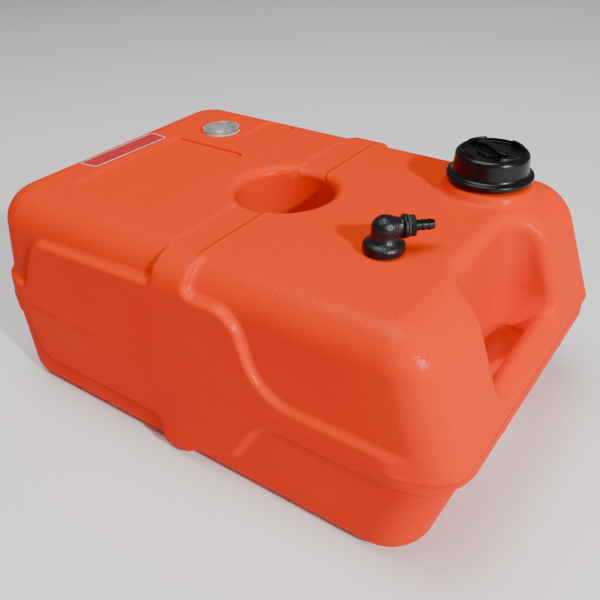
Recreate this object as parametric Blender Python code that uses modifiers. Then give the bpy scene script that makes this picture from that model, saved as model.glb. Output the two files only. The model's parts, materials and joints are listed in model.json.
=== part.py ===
# Portable fuel tank for an outboard motor: a moulded body, filler cap, fuel outlet and float gauge.
# Metres, +Z up. The origin is at the middle of the base, +X points to the carrying handle.

import math

import bmesh
import bpy
from mathutils import Matrix, Vector

# Moulded body
LENGTH = 0.500
WIDTH = 0.340
HEIGHT = 0.214
WALL = 0.0035
PARTING_Z = 0.107
PLAN_RADIUS = 0.046
LEAST_RADIUS = 0.002

# The two blocks above and below the belt, set in from it
UPPER_STEP = 0.005
UPPER_REAR_STEP = 0.001
UPPER_FRONT_STEP = 0.001
UPPER_SIDE_DRAFT = 0.007
UPPER_REAR_DRAFT = 0.009
UPPER_FRONT_DRAFT = 0.037
UPPER_EDGE_RADIUS = 0.031
LOWER_STEP = 0.0045
LOWER_REAR_STEP = 0.0015
LOWER_SIDE_DRAFT = 0.004
LOWER_REAR_DRAFT = 0.001
LOWER_FRONT_DRAFT = 0.030
LOWER_EDGE_RADIUS = 0.021
LOWER_PLAN_RADIUS = 0.041

# Belt, side panels and the strap channel that crosses the top and the base
FRONT_BELT_TOP = 0.1235
FRONT_BELT_BOTTOM = 0.092
REAR_BELT_TOP = 0.130
REAR_BELT_BOTTOM = 0.087
PANEL_TOP = 0.1835
PANEL_TOP_ROOT = 0.190
PANEL_BOTTOM = 0.041
PANEL_REAR_SETBACK = 0.0505
PANEL_TOP_SETBACK = 0.076
PANEL_LOWER_REAR_SETBACK = 0.039
PANEL_BOTTOM_SETBACK = 0.056
PANEL_CORNER_RADIUS = 0.022
PANEL_BOTTOM_RADIUS = 0.010
PANEL_ROOT_RADIUS = 0.006
STRAP_REAR_X = -0.0215
STRAP_FRONT_X = 0.0095
STRAP_SIDE_FRONT_X = 0.0145
STRAP_BASE_REAR_X = -0.0365
STRAP_BASE_FRONT_X = -0.0115
STRAP_DROP = 0.0022
CHANNEL_RELIEF = 0.001
CHANNEL_LAP = 0.001
UPPER_SHOULDER_X = 0.0617
UPPER_SHOULDER_Z = 0.1905
UPPER_SHOULDER_RADIUS = 0.030
UPPER_SWEEP_X = 0.0853
UPPER_SWEEP_RADIUS = 0.044
LOWER_SHOULDER_X = 0.0527
LOWER_SHOULDER_Z = 0.0355
LOWER_SHOULDER_RADIUS = 0.016
LOWER_ROOT_X = 0.004
LOWER_ROOT_Z = 0.0165
LOWER_ROOT_RADIUS = 0.010
LOWER_SWEEP_X = 0.0864
LOWER_SWEEP_RADIUS = 0.034
CORE_DRAFT = 0.003
CORE_EDGE_RADIUS = 0.026
CORE_BASE_EDGE_RADIUS = 0.0135
LEDGE_SLOPE = 0.0025
LEDGE_DEPTH = 0.010

# Round well in the middle, sunk from the top and from the base, with a web between
WELL_X = -0.005
WELL_Y = -0.003
WELL_RADIUS = 0.0465
WELL_FLOOR_RADIUS = 0.0405
WELL_RIM_RADIUS = 0.009
WELL_WEB = 0.006
WELL_FLOOR_FILLET = 0.008
WELL_RIM_START = math.radians(105)

# Hand pocket and grip bar at the front end
POCKET_LENGTH = 0.060
POCKET_SLOT_HALF_WIDTH = 0.052
POCKET_SLOT_CORNER = 0.014
POCKET_HALF_WIDTH = 0.067
POCKET_CORNER = 0.027
POCKET_SPREAD_RISE = 0.034
POCKET_RIM_WIDTH = 0.009
POCKET_RIM_DEPTH = 0.013
POCKET_DRAFT = 0.002
GRIP_THICKNESS = 0.027
GRIP_SETBACK = 0.001
GRIP_TOP = 0.124
GRIP_BOTTOM = 0.094
GRIP_RADIUS = 0.008

# Shallow bare panels sunk in the top
LABEL_PANEL_REAR_SETBACK = 0.067
LABEL_PANEL_WELL_GAP = 0.083
LABEL_PANEL_SIDE_SETBACK = 0.062
LABEL_PANEL_GAUGE_GAP = 0.040
MARK_PANEL_GAUGE_GAP = 0.028
MARK_PANEL_SIDE_SETBACK = 0.044
MARK_PANEL_LENGTH = 0.038
MARK_PANEL_WIDTH = 0.045
SUNK_PANEL_DEPTH = 0.0012
SUNK_PANEL_RADIUS = 0.009

# Clearances and overruns
FIT_GAP = 0.0003
RUNNING_GAP = 0.0005
CUT_OVERRUN = 0.020
MERGE_DISTANCE = 0.00001
BLOCK_LAP = 0.006

# Filler neck
NECK_FRONT_SETBACK = 0.0980
NECK_SIDE_SETBACK = 0.0745
NECK_RADIUS = 0.0290
NECK_BORE_RADIUS = 0.0250
NECK_HEIGHT = 0.0255
NECK_COLLAR_RADIUS = 0.0385
NECK_COLLAR_HEIGHT = 0.0055
NECK_COLLAR_ROUND = 0.0030
NECK_COLLAR_DEPTH = 0.0120
NECK_LAP = 0.0020

# Filler cap
CAP_RADIUS = 0.0335
CAP_TOP_RADIUS = 0.0318
CAP_BORE_GAP = 0.0007
CAP_FLANGE_RADIUS = 0.0388
CAP_FLANGE_THICKNESS = 0.0055
CAP_FLANGE_RISE = 0.0120
CAP_FLARE_HEIGHT = 0.0050
CAP_PLATE_THICKNESS = 0.0035
CAP_EDGE_RADIUS = 0.0040
CAP_EDGE_RISE = 0.0025
CAP_LIP_WIDTH = 0.0035
CAP_STEM_HOLE = 0.0038
CAP_RIM_WIDTH = 0.0030
CAP_RIM_HEIGHT = 0.0045
CAP_RIM_SETBACK = 0.0030
CAP_RIM_SINK = 0.0010
CAP_RIM_GAP_WIDTH = 0.0180
CAP_RIM_GAP_ANGLE = math.radians(36)

# Seal and liner inside the cap
CAP_GASKET_THICKNESS = 0.0025
LINER_THICKNESS = 0.0016
LINER_MARGIN = 0.0007

# Vent knob in the cap
VENT_STEM_RADIUS = 0.0032
VENT_DISC_RADIUS = 0.0130
VENT_DISC_THICKNESS = 0.0014
VENT_BAR_LENGTH = 0.0320
VENT_BAR_WIDTH = 0.0085
VENT_BAR_HEIGHT = 0.0042
VENT_BAR_ANGLE = math.radians(-9)
VENT_HEAD_RADIUS = 0.0052
VENT_HEAD_THICKNESS = 0.0008
VENT_BAR_ROUND = 0.0016
VENT_SEAL_RADIUS = 0.0065
VENT_SEAL_THICKNESS = 0.0010

# Fuel outlet on the top
OUTLET_FRONT_SETBACK = 0.1205
OUTLET_SIDE_SETBACK = 0.1125
OUTLET_ANGLE = math.radians(42)
BOSS_RADIUS = 0.0150
BOSS_DEPTH = 0.0130
BUSH_RADIUS = 0.0095
BUSH_BORE_RADIUS = 0.0064
BUSH_HEAD_RADIUS = 0.0118
BUSH_HEAD_THICKNESS = 0.0016
BUSH_LENGTH = 0.0190
BUSH_SHOULDER_DEPTH = 0.0120
ELBOW_BASE_RADIUS = 0.0167
ELBOW_BASE_THICKNESS = 0.0060
ELBOW_BASE_ROUND = 0.0020
ELBOW_FLARE_RADIUS = 0.0060
ELBOW_BODY_RADIUS = 0.0106
ELBOW_AXIS_RISE = 0.0205
ELBOW_BORE_RADIUS = 0.0034
ELBOW_STEM_RADIUS = 0.0058
ELBOW_STEM_LENGTH = 0.0100
ELBOW_SPIGOT_RADIUS = 0.0074
ELBOW_SPIGOT_REACH = 0.0170
STEM_SEAL_SECTION = 0.00075
STEM_SEAL_DEPTH = 0.0050
BASE_SEAL_OUTER_RADIUS = 0.0155
BASE_SEAL_INNER_RADIUS = 0.0125
BARB_SOCKET_RADIUS = 0.0052
BARB_SOCKET_DEPTH = 0.0080
BARB_SEAL_THICKNESS = 0.0015
BARB_SEAL_RADIUS = 0.0090
SPIGOT_COLLAR_RADIUS = 0.0096
SPIGOT_COLLAR_WIDTH = 0.0030
SPIGOT_ROUND = 0.0012
BARB_SHANK_GAP = 0.0003
BARB_SHANK_END = 0.0005
HEX_ACROSS_FLATS = 0.0165
HEX_THICKNESS = 0.0042
BARB_ROOT_RADIUS = 0.0038
BARB_RADIUS = 0.0046
BARB_BORE_RADIUS = 0.0026
BARB_PITCH = 0.0049
BARB_COUNT = 3
BARB_LEAD = 0.0010
BARB_TAPER_SHARE = 0.8
NUT_LAP = 0.0006

# Pick-up tube and strainer
PICKUP_RADIUS = 0.0050
PICKUP_BORE_RADIUS = 0.0034
PICKUP_FOOT_CLEARANCE = 0.0080
STRAINER_RADIUS = 0.0080
STRAINER_WALL = 0.0012
STRAINER_HEIGHT = 0.0220
STRAINER_SLOTS = 8
STRAINER_SLOT_WIDTH = 0.0026
STRAINER_SLOT_HEIGHT = 0.0120
STRAINER_SUMP = 0.0060

# Float gauge
GAUGE_REAR_SETBACK = 0.0980
GAUGE_SIDE_SETBACK = 0.0890
GAUGE_HOLE_RADIUS = 0.0168
GAUGE_PAD_RADIUS = 0.0225
GAUGE_PAD_DEPTH = 0.0080
GAUGE_GASKET_THICKNESS = 0.0012
GAUGE_GASKET_WIDTH = 0.0030
GAUGE_GASKET_SETBACK = 0.0006
LENS_RADIUS = 0.0206
LENS_RIM_THICKNESS = 0.0026
LENS_WINDOW_RADIUS = 0.0128
LENS_WINDOW_RISE = 0.0016
LENS_THICKNESS = 0.0018
LENS_ROUND = 0.0010
BARREL_WALL = 0.0022
BARREL_LENGTH = 0.0140
BARREL_FLOOR = 0.0020
DIAL_THICKNESS = 0.0008
DIAL_DROP = 0.0045
DIAL_LEDGE = 0.0020
POINTER_LENGTH = 0.0100
POINTER_WIDTH = 0.0020
POINTER_THICKNESS = 0.0006
POINTER_RISE = 0.0006
POINTER_HUB_RADIUS = 0.0024
SPINDLE_WIDTH = 0.0056
SPINDLE_THICKNESS = 0.0009
SPINDLE_PIVOT_RADIUS = 0.0011
SPINDLE_TWIST = math.radians(270)
ROD_RADIUS = 0.0014
ROD_OFFSET = 0.0100
FOOT_RADIUS = 0.0140
FOOT_THICKNESS = 0.0030
FOOT_CLEARANCE = 0.0080
ROD_SOCKET_DEPTH = 0.0015
FLOAT_RADIUS = 0.0145
FLOAT_BORE_RADIUS = 0.0050
FLOAT_HEIGHT = 0.0300
DRIVER_THICKNESS = 0.0016
DRIVER_RADIUS = 0.0072

# Facets of the body's outside and of its cavity: plan corners, rounded edges, round wells, fillets,
# the pocket's spread and the widest turn in the side outline
OUTER_STEPS = (5, 5, 36, 3, 3, math.radians(16))
CAVITY_STEPS = (3, 2, 16, 2, 2, math.radians(32))
ROUND_STEPS = 36
SMALL_ROUND_STEPS = 24
FINE_STEPS = 16
FILLET_STEPS = 3
SPINDLE_STEPS = 28
SEAL_SIDES = 5
DOME_STEPS = 5
HEX_SIDES = 6
SHARP_ANGLE = math.radians(32)
FLARE_END = math.radians(240)
QUARTER_TURN = math.pi / 2
HALF_TURN = math.pi
FULL_TURN = 2 * math.pi

# Places that follow from the sizes above
REAR_X = -LENGTH / 2
FRONT_X = LENGTH / 2
NEAR_Y = -WIDTH / 2
FAR_Y = WIDTH / 2
PANEL_REAR_X = REAR_X + PANEL_REAR_SETBACK
PANEL_TOP_X = REAR_X + PANEL_TOP_SETBACK
PANEL_LOWER_REAR_X = REAR_X + PANEL_LOWER_REAR_SETBACK
PANEL_BOTTOM_X = REAR_X + PANEL_BOTTOM_SETBACK
POCKET_REAR_X = FRONT_X - POCKET_LENGTH
STRAP_TOP = HEIGHT - STRAP_DROP
NECK_TOP = HEIGHT + NECK_HEIGHT
NECK_PLACE = (FRONT_X - NECK_FRONT_SETBACK, FAR_Y - NECK_SIDE_SETBACK, 0)
OUTLET_PLACE = (FRONT_X - OUTLET_FRONT_SETBACK, NEAR_Y + OUTLET_SIDE_SETBACK, 0)
GAUGE_X = REAR_X + GAUGE_REAR_SETBACK
GAUGE_Y = FAR_Y - GAUGE_SIDE_SETBACK
GAUGE_PLACE = (GAUGE_X, GAUGE_Y, 0)
LABEL_PANEL_REAR_X = REAR_X + LABEL_PANEL_REAR_SETBACK
LABEL_PANEL_FRONT_X = WELL_X - LABEL_PANEL_WELL_GAP
LABEL_PANEL_LOW_Y = NEAR_Y + LABEL_PANEL_SIDE_SETBACK
LABEL_PANEL_HIGH_Y = GAUGE_Y - LABEL_PANEL_GAUGE_GAP
MARK_PANEL_REAR_X = GAUGE_X + MARK_PANEL_GAUGE_GAP
MARK_PANEL_HIGH_Y = FAR_Y - MARK_PANEL_SIDE_SETBACK
GASKET_BASE = NECK_TOP + FIT_GAP
LINER_BASE = GASKET_BASE + CAP_GASKET_THICKNESS + FIT_GAP
CAP_CEILING = LINER_BASE + LINER_THICKNESS + FIT_GAP
CAP_DISC_TOP = CAP_CEILING + CAP_PLATE_THICKNESS
VENT_HEAD_TOP = LINER_BASE - FIT_GAP - VENT_SEAL_THICKNESS - FIT_GAP
VENT_HEAD_BASE = VENT_HEAD_TOP - VENT_HEAD_THICKNESS
CAP_TOP = CAP_DISC_TOP + CAP_RIM_HEIGHT
CAP_BASE = HEIGHT + CAP_FLANGE_RISE
CAP_BORE_RADIUS = NECK_RADIUS + CAP_BORE_GAP
GAUGE_SEAT = HEIGHT + FIT_GAP + GAUGE_GASKET_THICKNESS + FIT_GAP
BARREL_RADIUS = GAUGE_HOLE_RADIUS - FIT_GAP
BARREL_BORE_RADIUS = BARREL_RADIUS - BARREL_WALL
BARREL_BASE = GAUGE_SEAT - BARREL_LENGTH
DIAL_TOP = GAUGE_SEAT - DIAL_DROP + DIAL_THICKNESS
FOOT_BASE = WALL + FOOT_CLEARANCE
FOOT_TOP = FOOT_BASE + FOOT_THICKNESS
FLOAT_BASE = FOOT_TOP + FIT_GAP
DRIVER_BASE = FLOAT_BASE + FLOAT_HEIGHT + FIT_GAP
FLOAT_TRAVEL = BARREL_BASE - DRIVER_BASE - DRIVER_THICKNESS - FIT_GAP
OUTLET_SEAT = HEIGHT + BUSH_HEAD_THICKNESS + FIT_GAP + FIT_GAP
HEX_BASE = ELBOW_SPIGOT_REACH + FIT_GAP + BARB_SEAL_THICKNESS + FIT_GAP
HEX_TOP = HEX_BASE + HEX_THICKNESS


# Shared helpers

def add_piece(name, mesh, place=(0, 0, 0)):
    piece = bpy.data.objects.new(name, mesh)
    piece.location = place
    bpy.context.scene.collection.objects.link(piece)
    return piece


def from_bmesh(name, shape, place=(0, 0, 0)):
    bmesh.ops.recalc_face_normals(shape, faces=shape.faces)
    mesh = bpy.data.meshes.new(name)
    shape.to_mesh(mesh)
    shape.free()
    return add_piece(name, mesh, place)


def settle(piece):
    view = bpy.context.evaluated_depsgraph_get()
    mesh = bpy.data.meshes.new_from_object(piece.evaluated_get(view))
    piece.modifiers.clear()
    piece.data = mesh


def combine(piece, other, operation):
    modifier = piece.modifiers.new(operation.title(), "BOOLEAN")
    modifier.operation = operation
    modifier.object = other
    settle(piece)
    bpy.data.objects.remove(other)
    shape = bmesh.new()
    shape.from_mesh(piece.data)
    bmesh.ops.remove_doubles(shape, verts=shape.verts, dist=MERGE_DISTANCE)
    bmesh.ops.dissolve_degenerate(shape, edges=shape.edges, dist=MERGE_DISTANCE)
    shape.to_mesh(piece.data)
    shape.free()


def cut(piece, other):
    combine(piece, other, "DIFFERENCE")


def join(piece, other):
    combine(piece, other, "UNION")


def loft(name, rings, place=(0, 0, 0)):
    shape = bmesh.new()
    loops = [[shape.verts.new(point) for point in ring] for ring in rings]
    count = len(loops[0])
    for near, far in zip(loops, loops[1:]):
        for i in range(count):
            j = (i + 1) % count
            shape.faces.new((near[i], near[j], far[j], far[i]))
    shape.faces.new(loops[0])
    shape.faces.new(loops[-1])
    return from_bmesh(name, shape, place)


def turned(name, profile, steps, place=(0, 0, 0), ring=False):
    count = len(profile)
    edges = [(i, i + 1) for i in range(count - 1)]
    if ring:
        edges.append((count - 1, 0))
    mesh = bpy.data.meshes.new(name)
    mesh.from_pydata([(radius, 0, height) for radius, height in profile], edges, [])
    piece = add_piece(name, mesh, place)
    screw = piece.modifiers.new("Turn", "SCREW")
    screw.steps = steps
    screw.render_steps = steps
    screw.use_merge_vertices = True
    screw.merge_threshold = MERGE_DISTANCE
    settle(piece)
    shape = bmesh.new()
    shape.from_mesh(piece.data)
    bmesh.ops.recalc_face_normals(shape, faces=shape.faces)
    shape.to_mesh(piece.data)
    shape.free()
    return piece


def cylinder(name, radius, low, high, steps, place=(0, 0, 0)):
    shape = bmesh.new()
    lift = Matrix.Translation((0, 0, (low + high) / 2))
    bmesh.ops.create_cone(
        shape, cap_ends=True, segments=steps, radius1=radius, radius2=radius, depth=high - low, matrix=lift
    )
    return from_bmesh(name, shape, place)


def ring_of(name, inner, outer, low, high, steps, place=(0, 0, 0)):
    profile = [(inner, high), (outer, high), (outer, low), (inner, low)]
    return turned(name, profile, steps, place, ring=True)


def box(name, low, high, place=(0, 0, 0)):
    shape = bmesh.new()
    size = Vector(high) - Vector(low)
    middle = (Vector(high) + Vector(low)) / 2
    stretch = Matrix.Diagonal((*size, 1))
    bmesh.ops.create_cube(shape, size=1, matrix=Matrix.Translation(middle) @ stretch)
    return from_bmesh(name, shape, place)


def arc(radius_centre, height_centre, radius, start, end, steps):
    points = []
    for step in range(steps + 1):
        angle = start + (end - start) * step / steps
        points.append((radius_centre + radius * math.cos(angle), height_centre + radius * math.sin(angle)))
    return points


def plan_ring(rear, front, low, high, radius, z, segments=OUTER_STEPS[0]):
    points = []
    for corner in range(4):
        x = front - radius if corner in (0, 3) else rear + radius
        y = high - radius if corner < 2 else low + radius
        start = corner * QUARTER_TURN
        end = start + QUARTER_TURN
        points += [(px, py, z) for px, py in arc(x, y, radius, start, end, segments)]
    return points


def turn_between(before, after):
    return math.atan2(before.x * after.y - before.y * after.x, before.dot(after))


def rounded_outline(corners, inset, facet_angle):
    # Corners run anticlockwise as (x, z, radius); each side moves in by the inset
    places = [Vector(corner[:2]) for corner in corners]
    points = []
    for i, (_, _, radius) in enumerate(corners):
        before = (places[i] - places[i - 1]).normalized()
        after = (places[(i + 1) % len(places)] - places[i]).normalized()
        normal = Vector((-before.y, before.x))
        next_normal = Vector((-after.y, after.x))
        corner = places[i] + inset * (normal + next_normal) / (1 + normal.dot(next_normal))
        turn = turn_between(before, after)
        if not radius:
            points.append(tuple(corner))
            continue
        side = math.copysign(1, turn)
        bend = max(radius - side * inset, LEAST_RADIUS)
        middle = corner - before * bend * math.tan(abs(turn) / 2) + normal * bend * side
        start = math.atan2(-normal.y * side, -normal.x * side)
        steps = max(2, math.ceil(abs(turn) / facet_angle))
        points += arc(middle.x, middle.y, bend, start, start + turn, steps)
    return points


# Moulded body

def half_rings(insets, drafts, face, plan_radius, edge_radius, inset, steps):
    # Rings from the parting plane to the top or the base, with the edge rounded over;
    # insets and drafts are for the rear, the front and the sides
    plan_steps, edge_steps, _, _, _, _ = steps
    way = math.copysign(1, face - PARTING_Z)
    radius = edge_radius - inset
    end = face - way * inset
    levels = [(PARTING_Z, 0)]
    for i in range(edge_steps + 1):
        angle = QUARTER_TURN * i / edge_steps
        levels.append((end - way * radius * (1 - math.sin(angle)), radius * (1 - math.cos(angle))))
    rings = []
    for z, tuck in levels:
        share = (z - PARTING_Z) / (face - PARTING_Z)
        rear, front, side = (
            step + inset + tuck + draft * share
            for step, draft in zip(insets, drafts)
        )
        corner = max(plan_radius - insets[-1] - inset - tuck, LEAST_RADIUS)
        ends = (REAR_X + rear, FRONT_X - front, NEAR_Y + side, FAR_Y - side)
        rings.append(plan_ring(*ends, corner, z, plan_steps))
    return rings


def block(name, insets, drafts, face, plan_radius, edge_radius, inset, steps):
    rings = half_rings(insets, drafts, face, plan_radius, edge_radius, inset, steps)
    way = math.copysign(1, face - PARTING_Z)
    root = [(x, y, z - way * BLOCK_LAP) for x, y, z in rings[0]]
    return loft(name, [root] + rings)


def core_corners():
    far_x = FRONT_X + CUT_OVERRUN
    high = HEIGHT + CUT_OVERRUN
    rear = STRAP_REAR_X - CHANNEL_LAP
    return [
        (-far_x, REAR_BELT_BOTTOM, 0),
        (PANEL_LOWER_REAR_X, REAR_BELT_BOTTOM, PANEL_ROOT_RADIUS),
        (PANEL_BOTTOM_X, PANEL_BOTTOM, PANEL_BOTTOM_RADIUS),
        (STRAP_BASE_REAR_X, PANEL_BOTTOM, PANEL_ROOT_RADIUS),
        (STRAP_BASE_REAR_X, -CUT_OVERRUN, 0),
        (STRAP_BASE_FRONT_X, -CUT_OVERRUN, 0),
        (STRAP_BASE_FRONT_X, STRAP_DROP, 0),
        (LOWER_ROOT_X, LOWER_ROOT_Z, LOWER_ROOT_RADIUS),
        (LOWER_SHOULDER_X, LOWER_SHOULDER_Z, LOWER_SHOULDER_RADIUS),
        (LOWER_SWEEP_X, FRONT_BELT_BOTTOM, LOWER_SWEEP_RADIUS),
        (far_x, FRONT_BELT_BOTTOM, 0),
        (far_x, FRONT_BELT_TOP, 0),
        (UPPER_SWEEP_X, FRONT_BELT_TOP, UPPER_SWEEP_RADIUS),
        (UPPER_SHOULDER_X, UPPER_SHOULDER_Z, UPPER_SHOULDER_RADIUS),
        (STRAP_SIDE_FRONT_X, UPPER_SHOULDER_Z, PANEL_ROOT_RADIUS),
        (STRAP_SIDE_FRONT_X, high, 0),
        (rear, high, 0),
        (rear, PANEL_TOP_ROOT, PANEL_ROOT_RADIUS),
        (PANEL_TOP_X, PANEL_TOP, PANEL_CORNER_RADIUS),
        (PANEL_REAR_X, REAR_BELT_TOP, PANEL_ROOT_RADIUS),
        (-far_x, REAR_BELT_TOP, 0),
    ]


def core(name, inset, steps):
    # Belt, side panels and strap: a plain rounded body cut to one outline seen from the side
    outline_angle = steps[-1]
    drafts = (CORE_DRAFT, CORE_DRAFT, CORE_DRAFT)
    base_radii = (PLAN_RADIUS, CORE_BASE_EDGE_RADIUS)
    top_radii = (PLAN_RADIUS, CORE_EDGE_RADIUS)
    lower = half_rings((0, 0, 0), drafts, STRAP_DROP, *base_radii, inset, steps)
    upper = half_rings((0, 0, 0), drafts, STRAP_TOP, *top_radii, inset, steps)
    body = loft(name, lower[:0:-1] + upper)
    corners = core_corners()
    side = FAR_Y - inset
    levels = ((side + CUT_OVERRUN, LEDGE_SLOPE), (side, LEDGE_SLOPE), (side - LEDGE_DEPTH, 0))
    levels += tuple((-y, slope) for y, slope in reversed(levels))
    rings = []
    for y, slope in levels:
        outline = rounded_outline(corners, inset + slope, outline_angle)
        rings.append([(x, y, z) for x, z in outline])
    combine(body, loft("core_outline", rings), "INTERSECT")
    return body


def well(way, inset, steps):
    # Sunk from the top where way is 1, from the base where it is -1
    _, _, round_steps, fillet_steps, _, _ = steps
    face = HEIGHT if way > 0 else 0
    depth = abs(face - PARTING_Z) - WELL_WEB / 2
    rim_centre = WELL_RADIUS + WELL_RIM_RADIUS
    rim_bend = WELL_RIM_RADIUS - inset
    rim = arc(rim_centre, -WELL_RIM_RADIUS, rim_bend, WELL_RIM_START, HALF_TURN, fillet_steps)
    fillet = WELL_FLOOR_FILLET + inset
    floor_centre = WELL_FLOOR_RADIUS - WELL_FLOOR_FILLET
    floor = arc(floor_centre, WELL_FLOOR_FILLET - depth, fillet, 0, -QUARTER_TURN, fillet_steps)
    profile = [(0, CUT_OVERRUN), (rim_centre, CUT_OVERRUN)] + rim + floor[:-1] + [(0, -depth - inset)]
    profile = [(radius, face + way * height) for radius, height in profile]
    return turned("well", profile[::int(way)], round_steps, (WELL_X, WELL_Y, 0))


def pocket(way, inset, steps):
    # Hand pocket: narrow at the parting plane, wide above and below, open at the front
    plan_steps, _, _, fillet_steps, spread_steps, _ = steps
    face = HEIGHT if way > 0 else 0
    front = FRONT_X + CUT_OVERRUN
    levels = [(PARTING_Z - way * BLOCK_LAP, 0, 0)]
    for i in range(spread_steps + 1):
        share = i / spread_steps
        rise = POCKET_SPREAD_RISE * share
        levels.append((PARTING_Z + way * rise, math.sin(QUARTER_TURN * share), 0))
    for i in range(fillet_steps + 1):
        angle = QUARTER_TURN * i / (fillet_steps + 1)
        drop = POCKET_RIM_DEPTH * (1 - math.sin(angle))
        levels.append((face - way * drop, 1, POCKET_RIM_WIDTH * (1 - math.cos(angle))))
    levels.append((face + way * CUT_OVERRUN, 1, POCKET_RIM_WIDTH))
    widening = POCKET_HALF_WIDTH - POCKET_SLOT_HALF_WIDTH
    corner_growth = POCKET_CORNER - POCKET_SLOT_CORNER
    rings = []
    for z, share, flare in levels:
        half = POCKET_SLOT_HALF_WIDTH + widening * share + flare + inset
        corner = POCKET_SLOT_CORNER + corner_growth * share + flare + inset
        rear = POCKET_REAR_X - POCKET_DRAFT * share - flare - inset
        rings.append(plan_ring(rear, front, -half, half, corner, z, plan_steps))
    return loft("pocket", rings)


def lower_block(inset, steps):
    insets = (LOWER_REAR_STEP, LOWER_STEP, LOWER_STEP)
    drafts = (LOWER_REAR_DRAFT, LOWER_FRONT_DRAFT, LOWER_SIDE_DRAFT)
    radii = (LOWER_PLAN_RADIUS, LOWER_EDGE_RADIUS)
    return block("lower_block", insets, drafts, 0, *radii, inset, steps)


def upper_block(name, inset, steps):
    insets = (UPPER_REAR_STEP, UPPER_FRONT_STEP, UPPER_STEP)
    drafts = (UPPER_REAR_DRAFT, UPPER_FRONT_DRAFT, UPPER_SIDE_DRAFT)
    radii = (PLAN_RADIUS, UPPER_EDGE_RADIUS)
    return block(name, insets, drafts, HEIGHT, *radii, inset, steps)


def cut_strap_channels(form):
    floor = STRAP_DROP + CHANNEL_RELIEF
    base_front = STRAP_BASE_FRONT_X - CHANNEL_LAP
    channels = (
        (STRAP_FRONT_X, HEIGHT - floor, HEIGHT + CUT_OVERRUN),
        (base_front, -CUT_OVERRUN, floor),
    )
    for front, low, high in channels:
        corner = (STRAP_REAR_X, -WIDTH, low)
        cut(form, box("channel", corner, (front, WIDTH, high)))


def tank_form(name, inset, face_inset, steps):
    form = upper_block(name, face_inset, steps)
    join(form, lower_block(face_inset, steps))
    if not inset:
        cut_strap_channels(form)
    join(form, core("core", inset, steps))
    for way in (1, -1):
        cut(form, well(way, inset, steps))
        cut(form, pocket(way, inset, steps))
    return form


def grip():
    front = FRONT_X - GRIP_SETBACK
    rear = front - GRIP_THICKNESS
    section = plan_ring(rear, front, GRIP_BOTTOM, GRIP_TOP, GRIP_RADIUS, 0)
    reach = POCKET_HALF_WIDTH + WALL
    return loft("grip", [[(x, y, z) for x, z, _ in section] for y in (-reach, reach)])


def neck():
    top = HEIGHT + NECK_COLLAR_HEIGHT
    low = HEIGHT - NECK_COLLAR_DEPTH
    bend = NECK_COLLAR_ROUND
    profile = [
        (NECK_BORE_RADIUS, low),
        (NECK_BORE_RADIUS, NECK_TOP),
        (NECK_RADIUS, NECK_TOP),
        (NECK_RADIUS, top),
        *arc(NECK_COLLAR_RADIUS - bend, top - bend, bend, QUARTER_TURN, 0, FILLET_STEPS),
        (NECK_COLLAR_RADIUS, low),
    ]
    return turned("neck", profile, ROUND_STEPS, NECK_PLACE, ring=True)


def hole(name, radius, steps, place):
    low = HEIGHT - BOSS_DEPTH - CUT_OVERRUN
    return cylinder(name, radius, low, HEIGHT + CUT_OVERRUN, steps, place)


def solid_patch(name, radius, depth, steps, place):
    return cylinder(name, radius, HEIGHT - depth, HEIGHT, steps, place)


def cavity():
    # The fuel space; the top stays thick under the gauge and round the outlet's bush
    space = tank_form("cavity", WALL, WALL + STRAP_DROP, CAVITY_STEPS)
    cut(space, solid_patch("gauge_pad", GAUGE_PAD_RADIUS, GAUGE_PAD_DEPTH, ROUND_STEPS, GAUGE_PLACE))
    cut(space, solid_patch("boss", BOSS_RADIUS, BOSS_DEPTH, SMALL_ROUND_STEPS, OUTLET_PLACE))
    return space


def sunk_panel(*ends):
    levels = (HEIGHT - SUNK_PANEL_DEPTH, HEIGHT + CUT_OVERRUN)
    return loft("panel", [plan_ring(*ends, SUNK_PANEL_RADIUS, z) for z in levels])


def label_panel():
    low = LABEL_PANEL_LOW_Y
    return sunk_panel(LABEL_PANEL_REAR_X, LABEL_PANEL_FRONT_X, low, LABEL_PANEL_HIGH_Y)


def mark_panel():
    front = MARK_PANEL_REAR_X + MARK_PANEL_LENGTH
    low = MARK_PANEL_HIGH_Y - MARK_PANEL_WIDTH
    return sunk_panel(MARK_PANEL_REAR_X, front, low, MARK_PANEL_HIGH_Y)


def tank_body():
    body = tank_form("tank_body", 0, 0, OUTER_STEPS)
    join(body, grip())
    cut(body, hole("neck_hole", NECK_BORE_RADIUS + NECK_LAP, ROUND_STEPS, NECK_PLACE))
    join(body, neck())
    cut(body, cavity())
    cut(body, hole("bush_hole", BUSH_RADIUS + FIT_GAP, SMALL_ROUND_STEPS, OUTLET_PLACE))
    cut(body, hole("gauge_hole", GAUGE_HOLE_RADIUS, ROUND_STEPS, GAUGE_PLACE))
    cut(body, label_panel())
    cut(body, mark_panel())
    return body


# Filler cap

def cap_flange():
    bend = CAP_FLANGE_THICKNESS / 2
    middle = CAP_FLANGE_RADIUS - bend
    return arc(middle, CAP_BASE + bend, bend, QUARTER_TURN, -QUARTER_TURN, FILLET_STEPS + 1)


def cap_flare():
    bend = CAP_FLARE_HEIGHT
    middle = CAP_BASE + CAP_FLANGE_THICKNESS + bend
    return arc(CAP_RADIUS + bend, middle, bend, HALF_TURN, FLARE_END, FILLET_STEPS)


def cap_shoulder():
    bend = CAP_EDGE_RADIUS
    middle = CAP_DISC_TOP + CAP_EDGE_RISE - bend
    return arc(CAP_TOP_RADIUS - bend, middle, bend, QUARTER_TURN, 0, FILLET_STEPS)


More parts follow.
